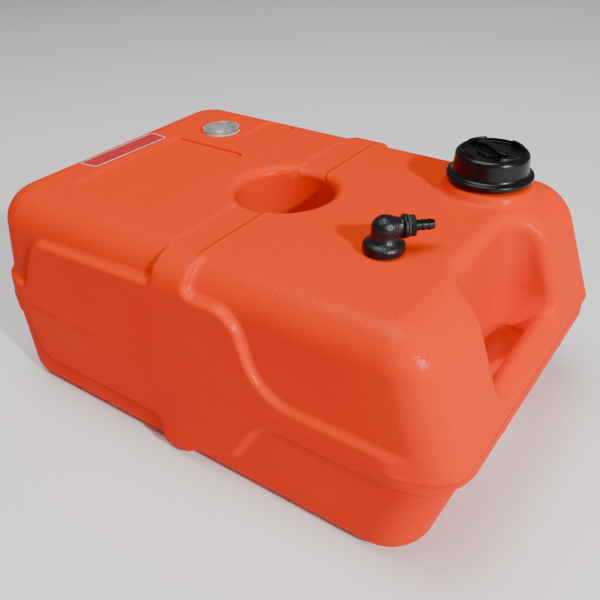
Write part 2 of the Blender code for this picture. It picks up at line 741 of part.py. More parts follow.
def cap_rim():
    # Four raised lugs left of a ring by two crossing gaps
    low = CAP_DISC_TOP + CAP_EDGE_RISE - CAP_RIM_SINK
    outer = CAP_TOP_RADIUS - CAP_RIM_SETBACK
    rim = ring_of("rim", outer - CAP_RIM_WIDTH, outer, low, CAP_TOP, ROUND_STEPS, NECK_PLACE)
    reach = CAP_FLANGE_RADIUS + CUT_OVERRUN
    half = CAP_RIM_GAP_WIDTH / 2
    for turn in (0, QUARTER_TURN):
        corner = (-reach, -half, low - CUT_OVERRUN)
        gap = box("gap", corner, (reach, half, CAP_TOP + CUT_OVERRUN), NECK_PLACE)
        gap.rotation_euler.z = CAP_RIM_GAP_ANGLE + turn
        cut(rim, gap)
    return rim


def filler_cap():
    shoulder = cap_shoulder()
    lip_radius, lip_top = shoulder[0]
    lip_radius -= CAP_LIP_WIDTH
    profile = [
        (CAP_STEM_HOLE, CAP_DISC_TOP),
        (lip_radius, CAP_DISC_TOP),
        (lip_radius, lip_top),
        *shoulder,
        *cap_flare(),
        *cap_flange(),
        (CAP_BORE_RADIUS, CAP_BASE),
        (CAP_BORE_RADIUS, CAP_CEILING),
        (CAP_STEM_HOLE, CAP_CEILING),
    ]
    cap = turned("filler_cap", profile, ROUND_STEPS, NECK_PLACE, ring=True)
    join(cap, cap_rim())
    return cap


def cap_gasket():
    top = GASKET_BASE + CAP_GASKET_THICKNESS
    radii = (NECK_BORE_RADIUS, NECK_RADIUS)
    return ring_of("cap_gasket", *radii, GASKET_BASE, top, SMALL_ROUND_STEPS, NECK_PLACE)


def cap_liner():
    radii = (CAP_STEM_HOLE, CAP_BORE_RADIUS - LINER_MARGIN)
    top = LINER_BASE + LINER_THICKNESS
    return ring_of("cap_liner", *radii, LINER_BASE, top, SMALL_ROUND_STEPS, NECK_PLACE)


def vent_knob():
    disc_base = CAP_DISC_TOP + FIT_GAP
    disc_top = disc_base + VENT_DISC_THICKNESS
    profile = [
        (0, disc_top),
        (VENT_DISC_RADIUS, disc_top),
        (VENT_DISC_RADIUS, disc_base),
        (VENT_STEM_RADIUS, disc_base),
        (VENT_STEM_RADIUS, VENT_HEAD_TOP),
        (VENT_HEAD_RADIUS, VENT_HEAD_TOP),
        (VENT_STEM_RADIUS, VENT_HEAD_BASE),
        (0, VENT_HEAD_BASE),
    ]
    knob = turned("vent_knob", profile, SMALL_ROUND_STEPS, NECK_PLACE)
    length = VENT_BAR_LENGTH / 2
    width = VENT_BAR_WIDTH / 2
    top = disc_top + VENT_BAR_HEIGHT
    levels = (
        (disc_base + VENT_DISC_THICKNESS / 2, 0),
        (top - VENT_BAR_ROUND, 0),
        (top, VENT_BAR_ROUND),
    )
    rings = []
    for z, tuck in levels:
        ends = (tuck - length, length - tuck, tuck - width, width - tuck)
        rings.append(plan_ring(*ends, width - VENT_BAR_ROUND, z, FILLET_STEPS))
    bar = loft("bar", rings, NECK_PLACE)
    bar.rotation_euler.z = VENT_BAR_ANGLE
    join(knob, bar)
    return knob


def vent_seal():
    radii = (VENT_STEM_RADIUS + FIT_GAP, VENT_SEAL_RADIUS)
    low = VENT_HEAD_TOP + FIT_GAP
    high = low + VENT_SEAL_THICKNESS
    return ring_of("vent_seal", *radii, low, high, FINE_STEPS, NECK_PLACE)


# Fuel outlet

def outlet_bush():
    base = OUTLET_SEAT - FIT_GAP - BUSH_LENGTH
    head_base = HEIGHT + FIT_GAP
    head_top = head_base + BUSH_HEAD_THICKNESS
    shoulder = head_top - BUSH_SHOULDER_DEPTH
    tube_bore = PICKUP_RADIUS + FIT_GAP
    profile = [
        (BUSH_BORE_RADIUS, head_top),
        (BUSH_HEAD_RADIUS, head_top),
        (BUSH_HEAD_RADIUS, head_base),
        (BUSH_RADIUS, head_base),
        (BUSH_RADIUS, base),
        (tube_bore, base),
        (tube_bore, shoulder),
        (BUSH_BORE_RADIUS, shoulder),
    ]
    return turned("outlet_bush", profile, SMALL_ROUND_STEPS, OUTLET_PLACE, ring=True)


def outlet_seal():
    radii = (BASE_SEAL_INNER_RADIUS, BASE_SEAL_OUTER_RADIUS)
    low = HEIGHT + FIT_GAP
    high = low + BUSH_HEAD_THICKNESS
    return ring_of("outlet_seal", *radii, low, high, SMALL_ROUND_STEPS, OUTLET_PLACE)


def stem_seal():
    bend = STEM_SEAL_SECTION
    middle = BUSH_BORE_RADIUS - FIT_GAP - bend
    profile = arc(middle, OUTLET_SEAT - STEM_SEAL_DEPTH, bend, 0, FULL_TURN, SEAL_SIDES)
    return turned("stem_seal", profile[:-1], FINE_STEPS, OUTLET_PLACE, ring=True)


def along_outlet(piece):
    # Lays a piece that was turned about Z along the horizontal spigot
    piece.location.z = HEIGHT + ELBOW_AXIS_RISE
    piece.rotation_euler = (0, QUARTER_TURN, OUTLET_ANGLE)
    return piece


def elbow_bell():
    # Dome, neck and foot with the stem and its seal groove below, one profile about the swivel
    groove_middle = OUTLET_SEAT - STEM_SEAL_DEPTH
    groove = STEM_SEAL_SECTION + FIT_GAP
    groove_radius = BUSH_BORE_RADIUS - 2 * groove
    axis = HEIGHT + ELBOW_AXIS_RISE
    base_top = OUTLET_SEAT + ELBOW_BASE_THICKNESS
    edge = ELBOW_BASE_ROUND
    bend = ELBOW_FLARE_RADIUS
    profile = [
        *arc(0, axis, ELBOW_BODY_RADIUS, QUARTER_TURN, 0, DOME_STEPS),
        *arc(ELBOW_BODY_RADIUS + bend, base_top + bend, bend, HALF_TURN, FLARE_END, FILLET_STEPS),
        *arc(ELBOW_BASE_RADIUS - edge, base_top - edge, edge, QUARTER_TURN, 0, FILLET_STEPS),
        (ELBOW_BASE_RADIUS, OUTLET_SEAT),
        (ELBOW_STEM_RADIUS, OUTLET_SEAT),
        (ELBOW_STEM_RADIUS, groove_middle + groove),
        (groove_radius, groove_middle + groove),
        (groove_radius, groove_middle - groove),
        (ELBOW_STEM_RADIUS, groove_middle - groove),
        (ELBOW_STEM_RADIUS, OUTLET_SEAT - ELBOW_STEM_LENGTH),
        (0, OUTLET_SEAT - ELBOW_STEM_LENGTH),
    ]
    return turned("outlet_elbow", profile, SMALL_ROUND_STEPS, OUTLET_PLACE)


def elbow_spigot():
    end = ELBOW_SPIGOT_REACH
    collar = end - SPIGOT_COLLAR_WIDTH
    profile = [
        (0, end),
        (SPIGOT_COLLAR_RADIUS - SPIGOT_ROUND, end),
        (SPIGOT_COLLAR_RADIUS, end - SPIGOT_ROUND),
        (SPIGOT_COLLAR_RADIUS, collar),
        (ELBOW_SPIGOT_RADIUS, collar),
        (ELBOW_SPIGOT_RADIUS, 0),
        (0, 0),
    ]
    return along_outlet(turned("spigot", profile, SMALL_ROUND_STEPS, OUTLET_PLACE))


def elbow_socket():
    end = ELBOW_SPIGOT_REACH + CUT_OVERRUN
    floor = ELBOW_SPIGOT_REACH - BARB_SOCKET_DEPTH
    profile = [
        (0, end),
        (BARB_SOCKET_RADIUS, end),
        (BARB_SOCKET_RADIUS, floor),
        (ELBOW_BORE_RADIUS, floor),
        (ELBOW_BORE_RADIUS, 0),
        (0, -ELBOW_BORE_RADIUS),
    ]
    return along_outlet(turned("socket", profile, FINE_STEPS, OUTLET_PLACE))


def elbow_riser():
    top = HEIGHT + ELBOW_AXIS_RISE
    low = HEIGHT - CUT_OVERRUN
    return cylinder("riser", ELBOW_BORE_RADIUS, low, top, FINE_STEPS, OUTLET_PLACE)


def outlet_elbow():
    elbow = elbow_bell()
    join(elbow, elbow_spigot())
    cut(elbow, elbow_socket())
    cut(elbow, elbow_riser())
    return elbow


def spigot_seal():
    radii = (BARB_SOCKET_RADIUS, BARB_SEAL_RADIUS)
    low = ELBOW_SPIGOT_REACH + FIT_GAP
    high = low + BARB_SEAL_THICKNESS
    return along_outlet(ring_of("spigot_seal", *radii, low, high, SMALL_ROUND_STEPS, OUTLET_PLACE))


def barb_nut():
    radius = HEX_ACROSS_FLATS / 2 / math.cos(HALF_TURN / HEX_SIDES)
    nut = cylinder("nut", radius, HEX_BASE, HEX_TOP, HEX_SIDES, OUTLET_PLACE)
    low = HEX_BASE - CUT_OVERRUN
    high = HEX_TOP + CUT_OVERRUN
    cut(nut, cylinder("bore", BARB_ROOT_RADIUS - NUT_LAP, low, high, FINE_STEPS, OUTLET_PLACE))
    return nut


def hose_barb():
    shank = BARB_SOCKET_RADIUS - BARB_SHANK_GAP
    shank_end = ELBOW_SPIGOT_REACH - BARB_SOCKET_DEPTH + BARB_SHANK_END
    shank_top = HEX_TOP - FIT_GAP
    tip = HEX_TOP + BARB_COUNT * BARB_PITCH + BARB_LEAD
    profile = [(BARB_BORE_RADIUS, tip)]
    for barb in range(BARB_COUNT):
        start = tip - barb * BARB_PITCH
        crest = start - BARB_PITCH * BARB_TAPER_SHARE
        profile += [(BARB_ROOT_RADIUS, start), (BARB_RADIUS, crest), (BARB_ROOT_RADIUS, crest)]
    profile += [
        (BARB_ROOT_RADIUS, shank_top),
        (shank, shank_top),
        (shank, shank_end),
        (BARB_BORE_RADIUS, shank_end),
    ]
    barb = turned("hose_barb", profile, FINE_STEPS, OUTLET_PLACE, ring=True)
    join(barb, barb_nut())
    return along_outlet(barb)


def pickup_tube():
    radii = (PICKUP_BORE_RADIUS, PICKUP_RADIUS)
    top = OUTLET_SEAT - FIT_GAP - BUSH_SHOULDER_DEPTH - FIT_GAP
    base = WALL + PICKUP_FOOT_CLEARANCE + STRAINER_WALL + FIT_GAP + STRAINER_SUMP
    return ring_of("pickup_tube", *radii, base, top, FINE_STEPS, OUTLET_PLACE)


def pickup_strainer():
    base = WALL + PICKUP_FOOT_CLEARANCE
    top = base + STRAINER_HEIGHT
    ceiling = top - 2 * STRAINER_WALL
    inner = STRAINER_RADIUS - STRAINER_WALL
    neck_radius = PICKUP_RADIUS + FIT_GAP
    profile = [
        (neck_radius, top),
        (neck_radius + STRAINER_WALL, top),
        (STRAINER_RADIUS, top - STRAINER_WALL),
        (STRAINER_RADIUS, base),
        (0, base),
        (0, base + STRAINER_WALL),
        (inner, base + STRAINER_WALL),
        (inner, ceiling),
        (neck_radius, ceiling),
    ]
    strainer = turned("pickup_strainer", profile, 2 * STRAINER_SLOTS, OUTLET_PLACE, ring=True)
    reach = STRAINER_RADIUS + CUT_OVERRUN
    half = STRAINER_SLOT_WIDTH / 2
    rise = STRAINER_SLOT_HEIGHT / 2
    middle = (base + top) / 2
    half_pitch = HALF_TURN / STRAINER_SLOTS
    for slot in range(STRAINER_SLOTS // 2):
        cutter = box("slot", (-reach, -half, middle - rise), (reach, half, middle + rise), OUTLET_PLACE)
        cutter.rotation_euler.z = half_pitch * (2 * slot + 1)
        cut(strainer, cutter)
    return strainer


# Float gauge

def gauge_gasket():
    inner = GAUGE_HOLE_RADIUS + GAUGE_GASKET_SETBACK
    radii = (inner, inner + GAUGE_GASKET_WIDTH)
    low = HEIGHT + FIT_GAP
    high = low + GAUGE_GASKET_THICKNESS
    return ring_of("gauge_gasket", *radii, low, high, SMALL_ROUND_STEPS, GAUGE_PLACE)


def gauge_lens():
    rim_top = GAUGE_SEAT + LENS_RIM_THICKNESS
    window_top = rim_top + LENS_WINDOW_RISE
    ceiling = window_top - LENS_THICKNESS
    profile = [
        (0, window_top),
        (LENS_WINDOW_RADIUS, window_top),
        (LENS_WINDOW_RADIUS + LENS_WINDOW_RISE, rim_top),
        (LENS_RADIUS - LENS_ROUND, rim_top),
        (LENS_RADIUS, rim_top - LENS_ROUND),
        (LENS_RADIUS, GAUGE_SEAT),
        (LENS_WINDOW_RADIUS - LENS_ROUND, GAUGE_SEAT),
        (LENS_WINDOW_RADIUS - LENS_ROUND, ceiling),
        (0, ceiling),
    ]
    return turned("gauge_lens", profile, ROUND_STEPS, GAUGE_PLACE)


def rod_places():
    return [(GAUGE_X, GAUGE_Y + side * ROD_OFFSET, 0) for side in (1, -1)]


def cut_rod_holes(piece, radius, low, high):
    for place in rod_places():
        cut(piece, cylinder("rod_hole", radius, low, high, FINE_STEPS, place))


def gauge_housing():
    top = GAUGE_SEAT - FIT_GAP
    seat = DIAL_TOP - DIAL_THICKNESS - FIT_GAP
    floor = BARREL_BASE + BARREL_FLOOR
    pivot = SPINDLE_PIVOT_RADIUS + RUNNING_GAP
    profile = [
        (BARREL_BORE_RADIUS, top),
        (BARREL_RADIUS, top),
        (BARREL_RADIUS, BARREL_BASE),
        (pivot, BARREL_BASE),
        (pivot, floor),
        (BARREL_BORE_RADIUS - DIAL_LEDGE, floor),
        (BARREL_BORE_RADIUS - DIAL_LEDGE, seat),
        (BARREL_BORE_RADIUS, seat),
    ]
    housing = turned("gauge_housing", profile, SMALL_ROUND_STEPS, GAUGE_PLACE, ring=True)
    low = BARREL_BASE - CUT_OVERRUN
    cut_rod_holes(housing, ROD_RADIUS + FIT_GAP, low, BARREL_BASE + ROD_SOCKET_DEPTH)
    return housing


def gauge_dial():
    radii = (SPINDLE_PIVOT_RADIUS + RUNNING_GAP, BARREL_BORE_RADIUS - FIT_GAP)
    low = DIAL_TOP - DIAL_THICKNESS
    return ring_of("gauge_dial", *radii, low, DIAL_TOP, SMALL_ROUND_STEPS, GAUGE_PLACE)


def gauge_pointer():
    low = DIAL_TOP + POINTER_RISE
    high = low + POINTER_THICKNESS
    pointer = cylinder("gauge_pointer", POINTER_HUB_RADIUS, low, high, FINE_STEPS, GAUGE_PLACE)
    half = POINTER_WIDTH / 2
    blade = [[(0, -half, z), (POINTER_LENGTH, 0, z), (0, half, z)] for z in (low, high)]
    join(pointer, loft("blade", blade, GAUGE_PLACE))
    ends = (low - CUT_OVERRUN, high + CUT_OVERRUN)
    cut(pointer, cylinder("pivot", SPINDLE_PIVOT_RADIUS + FIT_GAP, *ends, FINE_STEPS, GAUGE_PLACE))
    return pointer


def gauge_spindle():
    # A flat strip twisted evenly, so the float turns it as it rises
    low = FOOT_TOP + RUNNING_GAP
    high = BARREL_BASE - RUNNING_GAP
    half = SPINDLE_WIDTH / 2
    depth = SPINDLE_THICKNESS / 2
    strip = ((-half, -depth), (half, -depth), (half, depth), (-half, depth))
    rings = []
    for step in range(SPINDLE_STEPS + 1):
        z = low + (high - low) * step / SPINDLE_STEPS
        turn = Matrix.Rotation(-SPINDLE_TWIST * (z - DRIVER_BASE) / FLOAT_TRAVEL, 3, "Z")
        rings.append([tuple(turn @ Vector((x, y, z))) for x, y in strip])
    spindle = loft("gauge_spindle", rings, GAUGE_PLACE)
    pin_top = DIAL_TOP + POINTER_RISE + POINTER_THICKNESS
    for ends in ((FOOT_BASE + RUNNING_GAP, low + half), (high - half, pin_top)):
        join(spindle, cylinder("pin", SPINDLE_PIVOT_RADIUS, *ends, FINE_STEPS, GAUGE_PLACE))
    return spindle


def guide_rod(name, place):
    low = FOOT_TOP - ROD_SOCKET_DEPTH + FIT_GAP
    high = BARREL_BASE + ROD_SOCKET_DEPTH - FIT_GAP
    return cylinder(name, ROD_RADIUS, low, high, FINE_STEPS, place)


def gauge_guide_rod_far():
    return guide_rod("gauge_guide_rod_far", rod_places()[0])


def gauge_guide_rod_near():
    return guide_rod("gauge_guide_rod_near", rod_places()[1])


def gauge_foot():
    pivot = SPINDLE_PIVOT_RADIUS + RUNNING_GAP
    foot = ring_of("gauge_foot", pivot, FOOT_RADIUS, FOOT_BASE, FOOT_TOP, FINE_STEPS, GAUGE_PLACE)
    ends = (FOOT_TOP - ROD_SOCKET_DEPTH, FOOT_TOP + CUT_OVERRUN)
    cut_rod_holes(foot, ROD_RADIUS + FIT_GAP, *ends)
    return foot


def gauge_float():
    radii = (FLOAT_BORE_RADIUS, FLOAT_RADIUS)
    high = FLOAT_BASE + FLOAT_HEIGHT
    body = ring_of("gauge_float", *radii, FLOAT_BASE, high, SMALL_ROUND_STEPS, GAUGE_PLACE)
    cut_rod_holes(body, ROD_RADIUS + RUNNING_GAP, FLOAT_BASE - CUT_OVERRUN, high + CUT_OVERRUN)
    return body


def float_driver():
    top = DRIVER_BASE + DRIVER_THICKNESS
    driver = cylinder("float_driver", DRIVER_RADIUS, DRIVER_BASE, top, FINE_STEPS, GAUGE_PLACE)
    half = SPINDLE_WIDTH / 2 + RUNNING_GAP
    depth = SPINDLE_THICKNESS / 2 + RUNNING_GAP
    low = (-half, -depth, DRIVER_BASE - CUT_OVERRUN)
    cut(driver, box("slot", low, (half, depth, top + CUT_OVERRUN), GAUGE_PLACE))
    return driver


# Finishes: colour, roughness, metallic, transmission
FINISHES = {
    "orange_polyethylene": ((0.86, 0.08, 0.01), 0.42, 0.0, 0.0),
    "black_plastic": ((0.015, 0.016, 0.018), 0.38, 0.0, 0.0),
    "black_rubber": ((0.02, 0.02, 0.02), 0.8, 0.0, 0.0),
    "pale_rubber": ((0.72, 0.71, 0.68), 0.6, 0.0, 0.0),
    "clear_plastic": ((0.9, 0.92, 0.93), 0.08, 0.0, 0.9),
    "silver_dial": ((0.72, 0.73, 0.74), 0.35, 0.2, 0.0),
    "white_plastic": ((0.8, 0.79, 0.75), 0.45, 0.0, 0.0),
    "red_plastic": ((0.6, 0.03, 0.02), 0.4, 0.0, 0.0),
    "brass": ((0.7, 0.5, 0.2), 0.3, 1.0, 0.0),
    "float_foam": ((0.12, 0.11, 0.1), 0.75, 0.0, 0.0),
}

PIECES = (
    (tank_body, "orange_polyethylene", None),
    (filler_cap, "black_plastic", "cap_axis"),
    (cap_gasket, "black_rubber", "cap_axis"),
    (cap_liner, "white_plastic", "cap_axis"),
    (vent_knob, "black_plastic", "cap_axis"),
    (vent_seal, "black_rubber", "cap_axis"),
    (outlet_bush, "brass", None),
    (outlet_seal, "black_rubber", None),
    (stem_seal, "black_rubber", "outlet_axis"),
    (outlet_elbow, "black_plastic", "outlet_axis"),
    (spigot_seal, "black_rubber", "outlet_axis"),
    (hose_barb, "black_plastic", "outlet_axis"),
    (pickup_tube, "white_plastic", None),
    (pickup_strainer, "white_plastic", None),
    (gauge_gasket, "pale_rubber", None),
    (gauge_lens, "clear_plastic", None),
    (gauge_housing, "white_plastic", None),
    (gauge_dial, "silver_dial", None),
    (gauge_pointer, "red_plastic", "gauge_axis"),
    (gauge_spindle, "brass", "gauge_axis"),
    (gauge_guide_rod_far, "brass", None),
    (gauge_guide_rod_near, "brass", None),
    (gauge_foot, "white_plastic", None),
    (gauge_float, "float_foam", "gauge_axis"),
    (float_driver, "white_plastic", "gauge_axis"),
)
AXES = {"cap_axis": NECK_PLACE, "outlet_axis": OUTLET_PLACE, "gauge_axis": GAUGE_PLACE}


def make_finish(name):
    colour, roughness, metallic, transmission = FINISHES[name]
    made = bpy.data.materials.new(name)
    made.use_nodes = True
    shader = made.node_tree.nodes["Principled BSDF"]
    shader.inputs["Base Color"].default_value = (*colour, 1)
    shader.inputs["Roughness"].default_value = roughness
    shader.inputs["Metallic"].default_value = metallic
    shader.inputs["Transmission Weight"].default_value = transmission
    return made


def main():
    for old in list(bpy.data.objects):
        bpy.data.objects.remove(old)
    home = bpy.data.collections.new("fuel_tank")
    bpy.context.scene.collection.children.link(home)
    finishes = {name: make_finish(name) for name in FINISHES}
    holders = {}
    for name, place in AXES.items():
        holders[name] = bpy.data.objects.new(name, None)
        holders[name].location = place
        home.objects.link(holders[name])
    for make, finish, axis in PIECES:
        piece = make()
        piece.data.materials.clear()
        piece.data.materials.append(finishes[finish])
        piece.data.shade_smooth()
        piece.data.set_sharp_from_angle(angle=SHARP_ANGLE)
        bpy.context.scene.collection.objects.unlink(piece)
        home.objects.link(piece)
        if axis:
            piece.parent = holders[axis]
            piece.location.x = 0
            piece.location.y = 0


main()
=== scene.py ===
# Looks of a portable fuel tank: a moulded shell, filler cap, outlet elbow and float gauge.
# Metres, +Z up, +X towards the hand grip, +Y towards the side with the filler cap.
import json
import math

import bmesh
import bpy
import numpy as np
from mathutils import Matrix, Vector

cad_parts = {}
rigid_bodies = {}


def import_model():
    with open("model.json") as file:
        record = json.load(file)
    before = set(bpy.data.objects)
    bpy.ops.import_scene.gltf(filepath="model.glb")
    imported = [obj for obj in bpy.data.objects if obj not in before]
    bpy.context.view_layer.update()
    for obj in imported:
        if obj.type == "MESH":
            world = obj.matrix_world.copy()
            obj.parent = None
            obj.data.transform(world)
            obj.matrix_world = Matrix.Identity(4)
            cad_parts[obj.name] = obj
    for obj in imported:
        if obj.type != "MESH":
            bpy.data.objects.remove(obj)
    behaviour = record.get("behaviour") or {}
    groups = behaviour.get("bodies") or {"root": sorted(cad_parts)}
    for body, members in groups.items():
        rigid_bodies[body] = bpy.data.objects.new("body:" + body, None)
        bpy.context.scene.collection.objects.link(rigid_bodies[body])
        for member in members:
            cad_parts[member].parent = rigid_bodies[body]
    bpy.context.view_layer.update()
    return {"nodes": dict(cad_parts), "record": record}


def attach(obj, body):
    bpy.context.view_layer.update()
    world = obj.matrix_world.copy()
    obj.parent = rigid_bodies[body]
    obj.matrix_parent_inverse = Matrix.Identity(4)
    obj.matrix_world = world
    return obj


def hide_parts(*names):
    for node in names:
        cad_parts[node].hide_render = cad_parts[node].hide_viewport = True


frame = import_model()
print("frame loaded:", len(frame["nodes"]), "nodes")


# Materials: each is a Principled shader with noise for colour, roughness and relief

def newMaterial(name):
    material = bpy.data.materials.new(name)
    material.use_nodes = True
    tree = material.node_tree
    shader = tree.nodes["Principled BSDF"]
    place = tree.nodes.new("ShaderNodeTexCoord").outputs["Object"]
    return material, tree, shader, place


def noise(tree, place, scale, detail=3.0, roughness=0.55):
    node = tree.nodes.new("ShaderNodeTexNoise")
    node.inputs["Scale"].default_value = scale
    node.inputs["Detail"].default_value = detail
    node.inputs["Roughness"].default_value = roughness
    tree.links.new(place, node.inputs["Vector"])
    return node.outputs["Fac"]


def pebbles(tree, place, scale):
    node = tree.nodes.new("ShaderNodeTexVoronoi")
    node.feature = "SMOOTH_F1"
    node.inputs["Scale"].default_value = scale
    tree.links.new(place, node.inputs["Vector"])
    return node.outputs["Distance"]


def ramp(tree, value, low, high, outLow=0.0, outHigh=1.0):
    node = tree.nodes.new("ShaderNodeMapRange")
    node.inputs["From Min"].default_value = low
    node.inputs["From Max"].default_value = high
    node.inputs["To Min"].default_value = outLow
    node.inputs["To Max"].default_value = outHigh
    tree.links.new(value, node.inputs["Value"])
    return node.outputs["Result"]


def mixColour(tree, factor, first, second):
    node = tree.nodes.new("ShaderNodeMix")
    node.data_type = "RGBA"
    tree.links.new(factor, node.inputs["Factor"])
    for socket, colour in ((node.inputs["A"], first), (node.inputs["B"], second)):
        if isinstance(colour, tuple):
            socket.default_value = (*colour, 1)
        else:
            tree.links.new(colour, socket)
    return node.outputs["Result"]


def relief(tree, height, strength, distance, under=None):
    node = tree.nodes.new("ShaderNodeBump")
    node.inputs["Strength"].default_value = strength
    node.inputs["Distance"].default_value = distance
    tree.links.new(height, node.inputs["Height"])
    if under:
        tree.links.new(under, node.inputs["Normal"])
    return node.outputs["Normal"]


cloudRange = (0.3, 0.7)  # the part of a noise that runs from one value to the other
roughRange = (0.2, 0.8)
orangeLook = {
    "colour": (0.700, 0.018, 0.0003),
    "paler": (0.750, 0.028, 0.0006),
    # painted light: the paler, yellower colour given to faces turned up and towards +X, as if lit
    "paintedLit": (0.840, 0.042, 0.0006),
    "darker": (0.470, 0.009, 0.0002),
    "cloudScale": 9.0,
    "mottleScale": 620.0,
    "mottleRange": (0.35, 0.65),
    "mottleShare": 0.15,
    "paintedLightFrom": (0.45, 0.0, 0.89),  # the way that faces must turn to be drawn paler, as painted light
    "paintedLightFull": 0.85,  # how squarely a face must look that way to get the full painted light
    "wave": {"scale": 38.0, "strength": 0.25, "depth": 0.0012},
    "pebble": {"scale": 380.0, "strength": 0.34, "depth": 0.00045},
    "grain": {"scale": 760.0, "strength": 0.42, "depth": 0.00045},
    "roughness": (0.30, 0.40),
    "roughScale": 60.0,
    "sockets": {
        "Subsurface Weight": 0.08,
        "Subsurface Radius": (0.006, 0.0015, 0.0005),
        "Subsurface Scale": 1.0,
        "Specular IOR Level": 0.0,
        "Coat Weight": 0.105,
        "Coat Roughness": 0.13,
    },
}
plainLook = {
    "cloudScale": 120.0,
    "cloudDetail": 4.0,
    "smoother": 0.05,
    "rougher": 0.07,
    "grainStrength": 0.35,
}
clearLook = {
    "colour": (0.93, 0.94, 0.95),
    "paler": (0.97, 0.97, 0.97),
    "cloudScale": 160.0,
    "roughness": (0.03, 0.09),
    "transmission": 0.95,
    "ior": 1.49,
}


def orangePlastic():
    material, tree, shader, place = newMaterial("orangePolyethylene")
    look = orangeLook
    cloud = noise(tree, place, look["cloudScale"])
    colour = mixColour(tree, ramp(tree, cloud, *cloudRange), look["colour"], look["paler"])
    # Painted light: the fade attribute mixes in a paler colour where faces turn up and towards +X
    fade = tree.nodes.new("ShaderNodeAttribute")
    fade.attribute_name = "fade"
    colour = mixColour(tree, fade.outputs["Fac"], colour, look["paintedLit"])
    mottle = noise(tree, place, look["mottleScale"], 2.0)
    mottle = ramp(tree, mottle, *look["mottleRange"], 0.0, look["mottleShare"])
    colour = mixColour(tree, mottle, colour, look["darker"])
    tree.links.new(colour, shader.inputs["Base Color"])
    normal = None
    for height, form in (
        (noise(tree, place, look["wave"]["scale"], 2.0), look["wave"]),
        (pebbles(tree, place, look["pebble"]["scale"]), look["pebble"]),
        (noise(tree, place, look["grain"]["scale"], 2.0, 0.5), look["grain"]),
    ):
        normal = relief(tree, height, form["strength"], form["depth"], normal)
    tree.links.new(normal, shader.inputs["Normal"])
    tree.links.new(normal, shader.inputs["Coat Normal"])
    rough = ramp(tree, noise(tree, place, look["roughScale"]), *cloudRange, *look["roughness"])
    tree.links.new(rough, shader.inputs["Roughness"])
    for socket, value in look["sockets"].items():
        shader.inputs[socket].default_value = value
    return material


def plainPlastic(
    name, colour, tint, roughness, grainScale=1400.0, grainDepth=0.00008, metallic=0.0, shine=0.5
):
    material, tree, shader, place = newMaterial(name)
    cloud = noise(tree, place, plainLook["cloudScale"], plainLook["cloudDetail"])
    tinted = mixColour(tree, ramp(tree, cloud, *cloudRange), colour, tint)
    tree.links.new(tinted, shader.inputs["Base Color"])
    low, high = roughness - plainLook["smoother"], roughness + plainLook["rougher"]
    tree.links.new(ramp(tree, cloud, *roughRange, low, high), shader.inputs["Roughness"])
    grain = noise(tree, place, grainScale, 2.0)
    normal = relief(tree, grain, plainLook["grainStrength"], grainDepth)
    tree.links.new(normal, shader.inputs["Normal"])
    shader.inputs["Metallic"].default_value = metallic
    shader.inputs["Specular IOR Level"].default_value = shine
    return material


def clearPlastic():
    material, tree, shader, place = newMaterial("clearAcrylic")
    look = clearLook
    cloud = noise(tree, place, look["cloudScale"])
    colour = mixColour(tree, cloud, look["colour"], look["paler"])
    tree.links.new(colour, shader.inputs["Base Color"])
    rough = ramp(tree, cloud, *roughRange, *look["roughness"])
    tree.links.new(rough, shader.inputs["Roughness"])
    shader.inputs["Transmission Weight"].default_value = look["transmission"]
    shader.inputs["IOR"].default_value = look["ior"]
    return material


looks = {
    "orange": orangePlastic(),
    "black": plainPlastic(
        "blackNylon", (0.003, 0.0032, 0.004), (0.006, 0.006, 0.007), 0.25,
        grainDepth=0.0001, shine=0.28,
    ),
    "rubber": plainPlastic(
        "blackRubber", (0.016, 0.016, 0.017), (0.030, 0.030, 0.031), 0.72,
        grainScale=900.0, grainDepth=0.0001,
    ),
    "paleRubber": plainPlastic(
        "paleSealRubber", (0.66, 0.65, 0.62), (0.74, 0.73, 0.70), 0.55,
        grainScale=900.0, grainDepth=0.0001,
    ),
    "clear": clearPlastic(),
    "silver": plainPlastic(
        "silverDial", (0.80, 0.80, 0.82), (0.90, 0.90, 0.91), 0.34,
        grainScale=700.0, grainDepth=0.00003, metallic=0.15,
    ),
    "white": plainPlastic("naturalPlastic", (0.74, 0.73, 0.68), (0.82, 0.81, 0.77), 0.45),
    "red": plainPlastic("redPlastic", (0.55, 0.025, 0.02), (0.62, 0.035, 0.025), 0.38),
    "brass": plainPlastic(
        "drawnBrass", (0.66, 0.45, 0.17), (0.74, 0.53, 0.22), 0.28,
        grainScale=500.0, grainDepth=0.00004, metallic=1.0,
    ),
    "casting": plainPlastic(
        "blackCasting", (0.004, 0.004, 0.005), (0.010, 0.010, 0.012), 0.30,
        grainScale=640.0, grainDepth=0.0013, shine=0.4,
    ),
    "film": plainPlastic(
        "redFilm", (0.50, 0.012, 0.020), (0.56, 0.018, 0.028), 0.32,
        grainScale=600.0, grainDepth=0.00003,
    ),
    "filmLine": plainPlastic(
        "paleFilmLine", (0.78, 0.77, 0.78), (0.85, 0.84, 0.85), 0.40,
        grainScale=600.0, grainDepth=0.00003,
    ),
    "foam": plainPlastic(
        "floatFoam", (0.09, 0.085, 0.08), (0.14, 0.13, 0.12), 0.75,
        grainScale=500.0, grainDepth=0.0003,
    ),
}
slotLooks = {
    "orange_shell": "orange",
    "black_plastic": "black",
    "black_rubber": "rubber",
    "pale_rubber": "paleRubber",
    "clear_plastic": "clear",
    "silver_dial": "silver",
    "white_plastic": "white",
    "red_plastic": "red",
    "brass": "brass",
    "float_foam": "foam",
}


def paint(mesh, material):
    mesh.materials.clear()
    mesh.materials.append(material)


for part in frame["record"]["subparts"]:
    paint(frame["nodes"][part["node"]].data, looks[slotLooks[part["material_slot"]]])
print("materials made:", len(looks))


# Mesh helpers

def newObject(name, data):
    thing = bpy.data.objects.new(name, data)
    bpy.context.scene.collection.objects.link(thing)
    return thing


def addPiece(name, mesh, look, body):
    piece = newObject(name, mesh)
    paint(mesh, looks[look])
    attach(piece, body)
    return piece


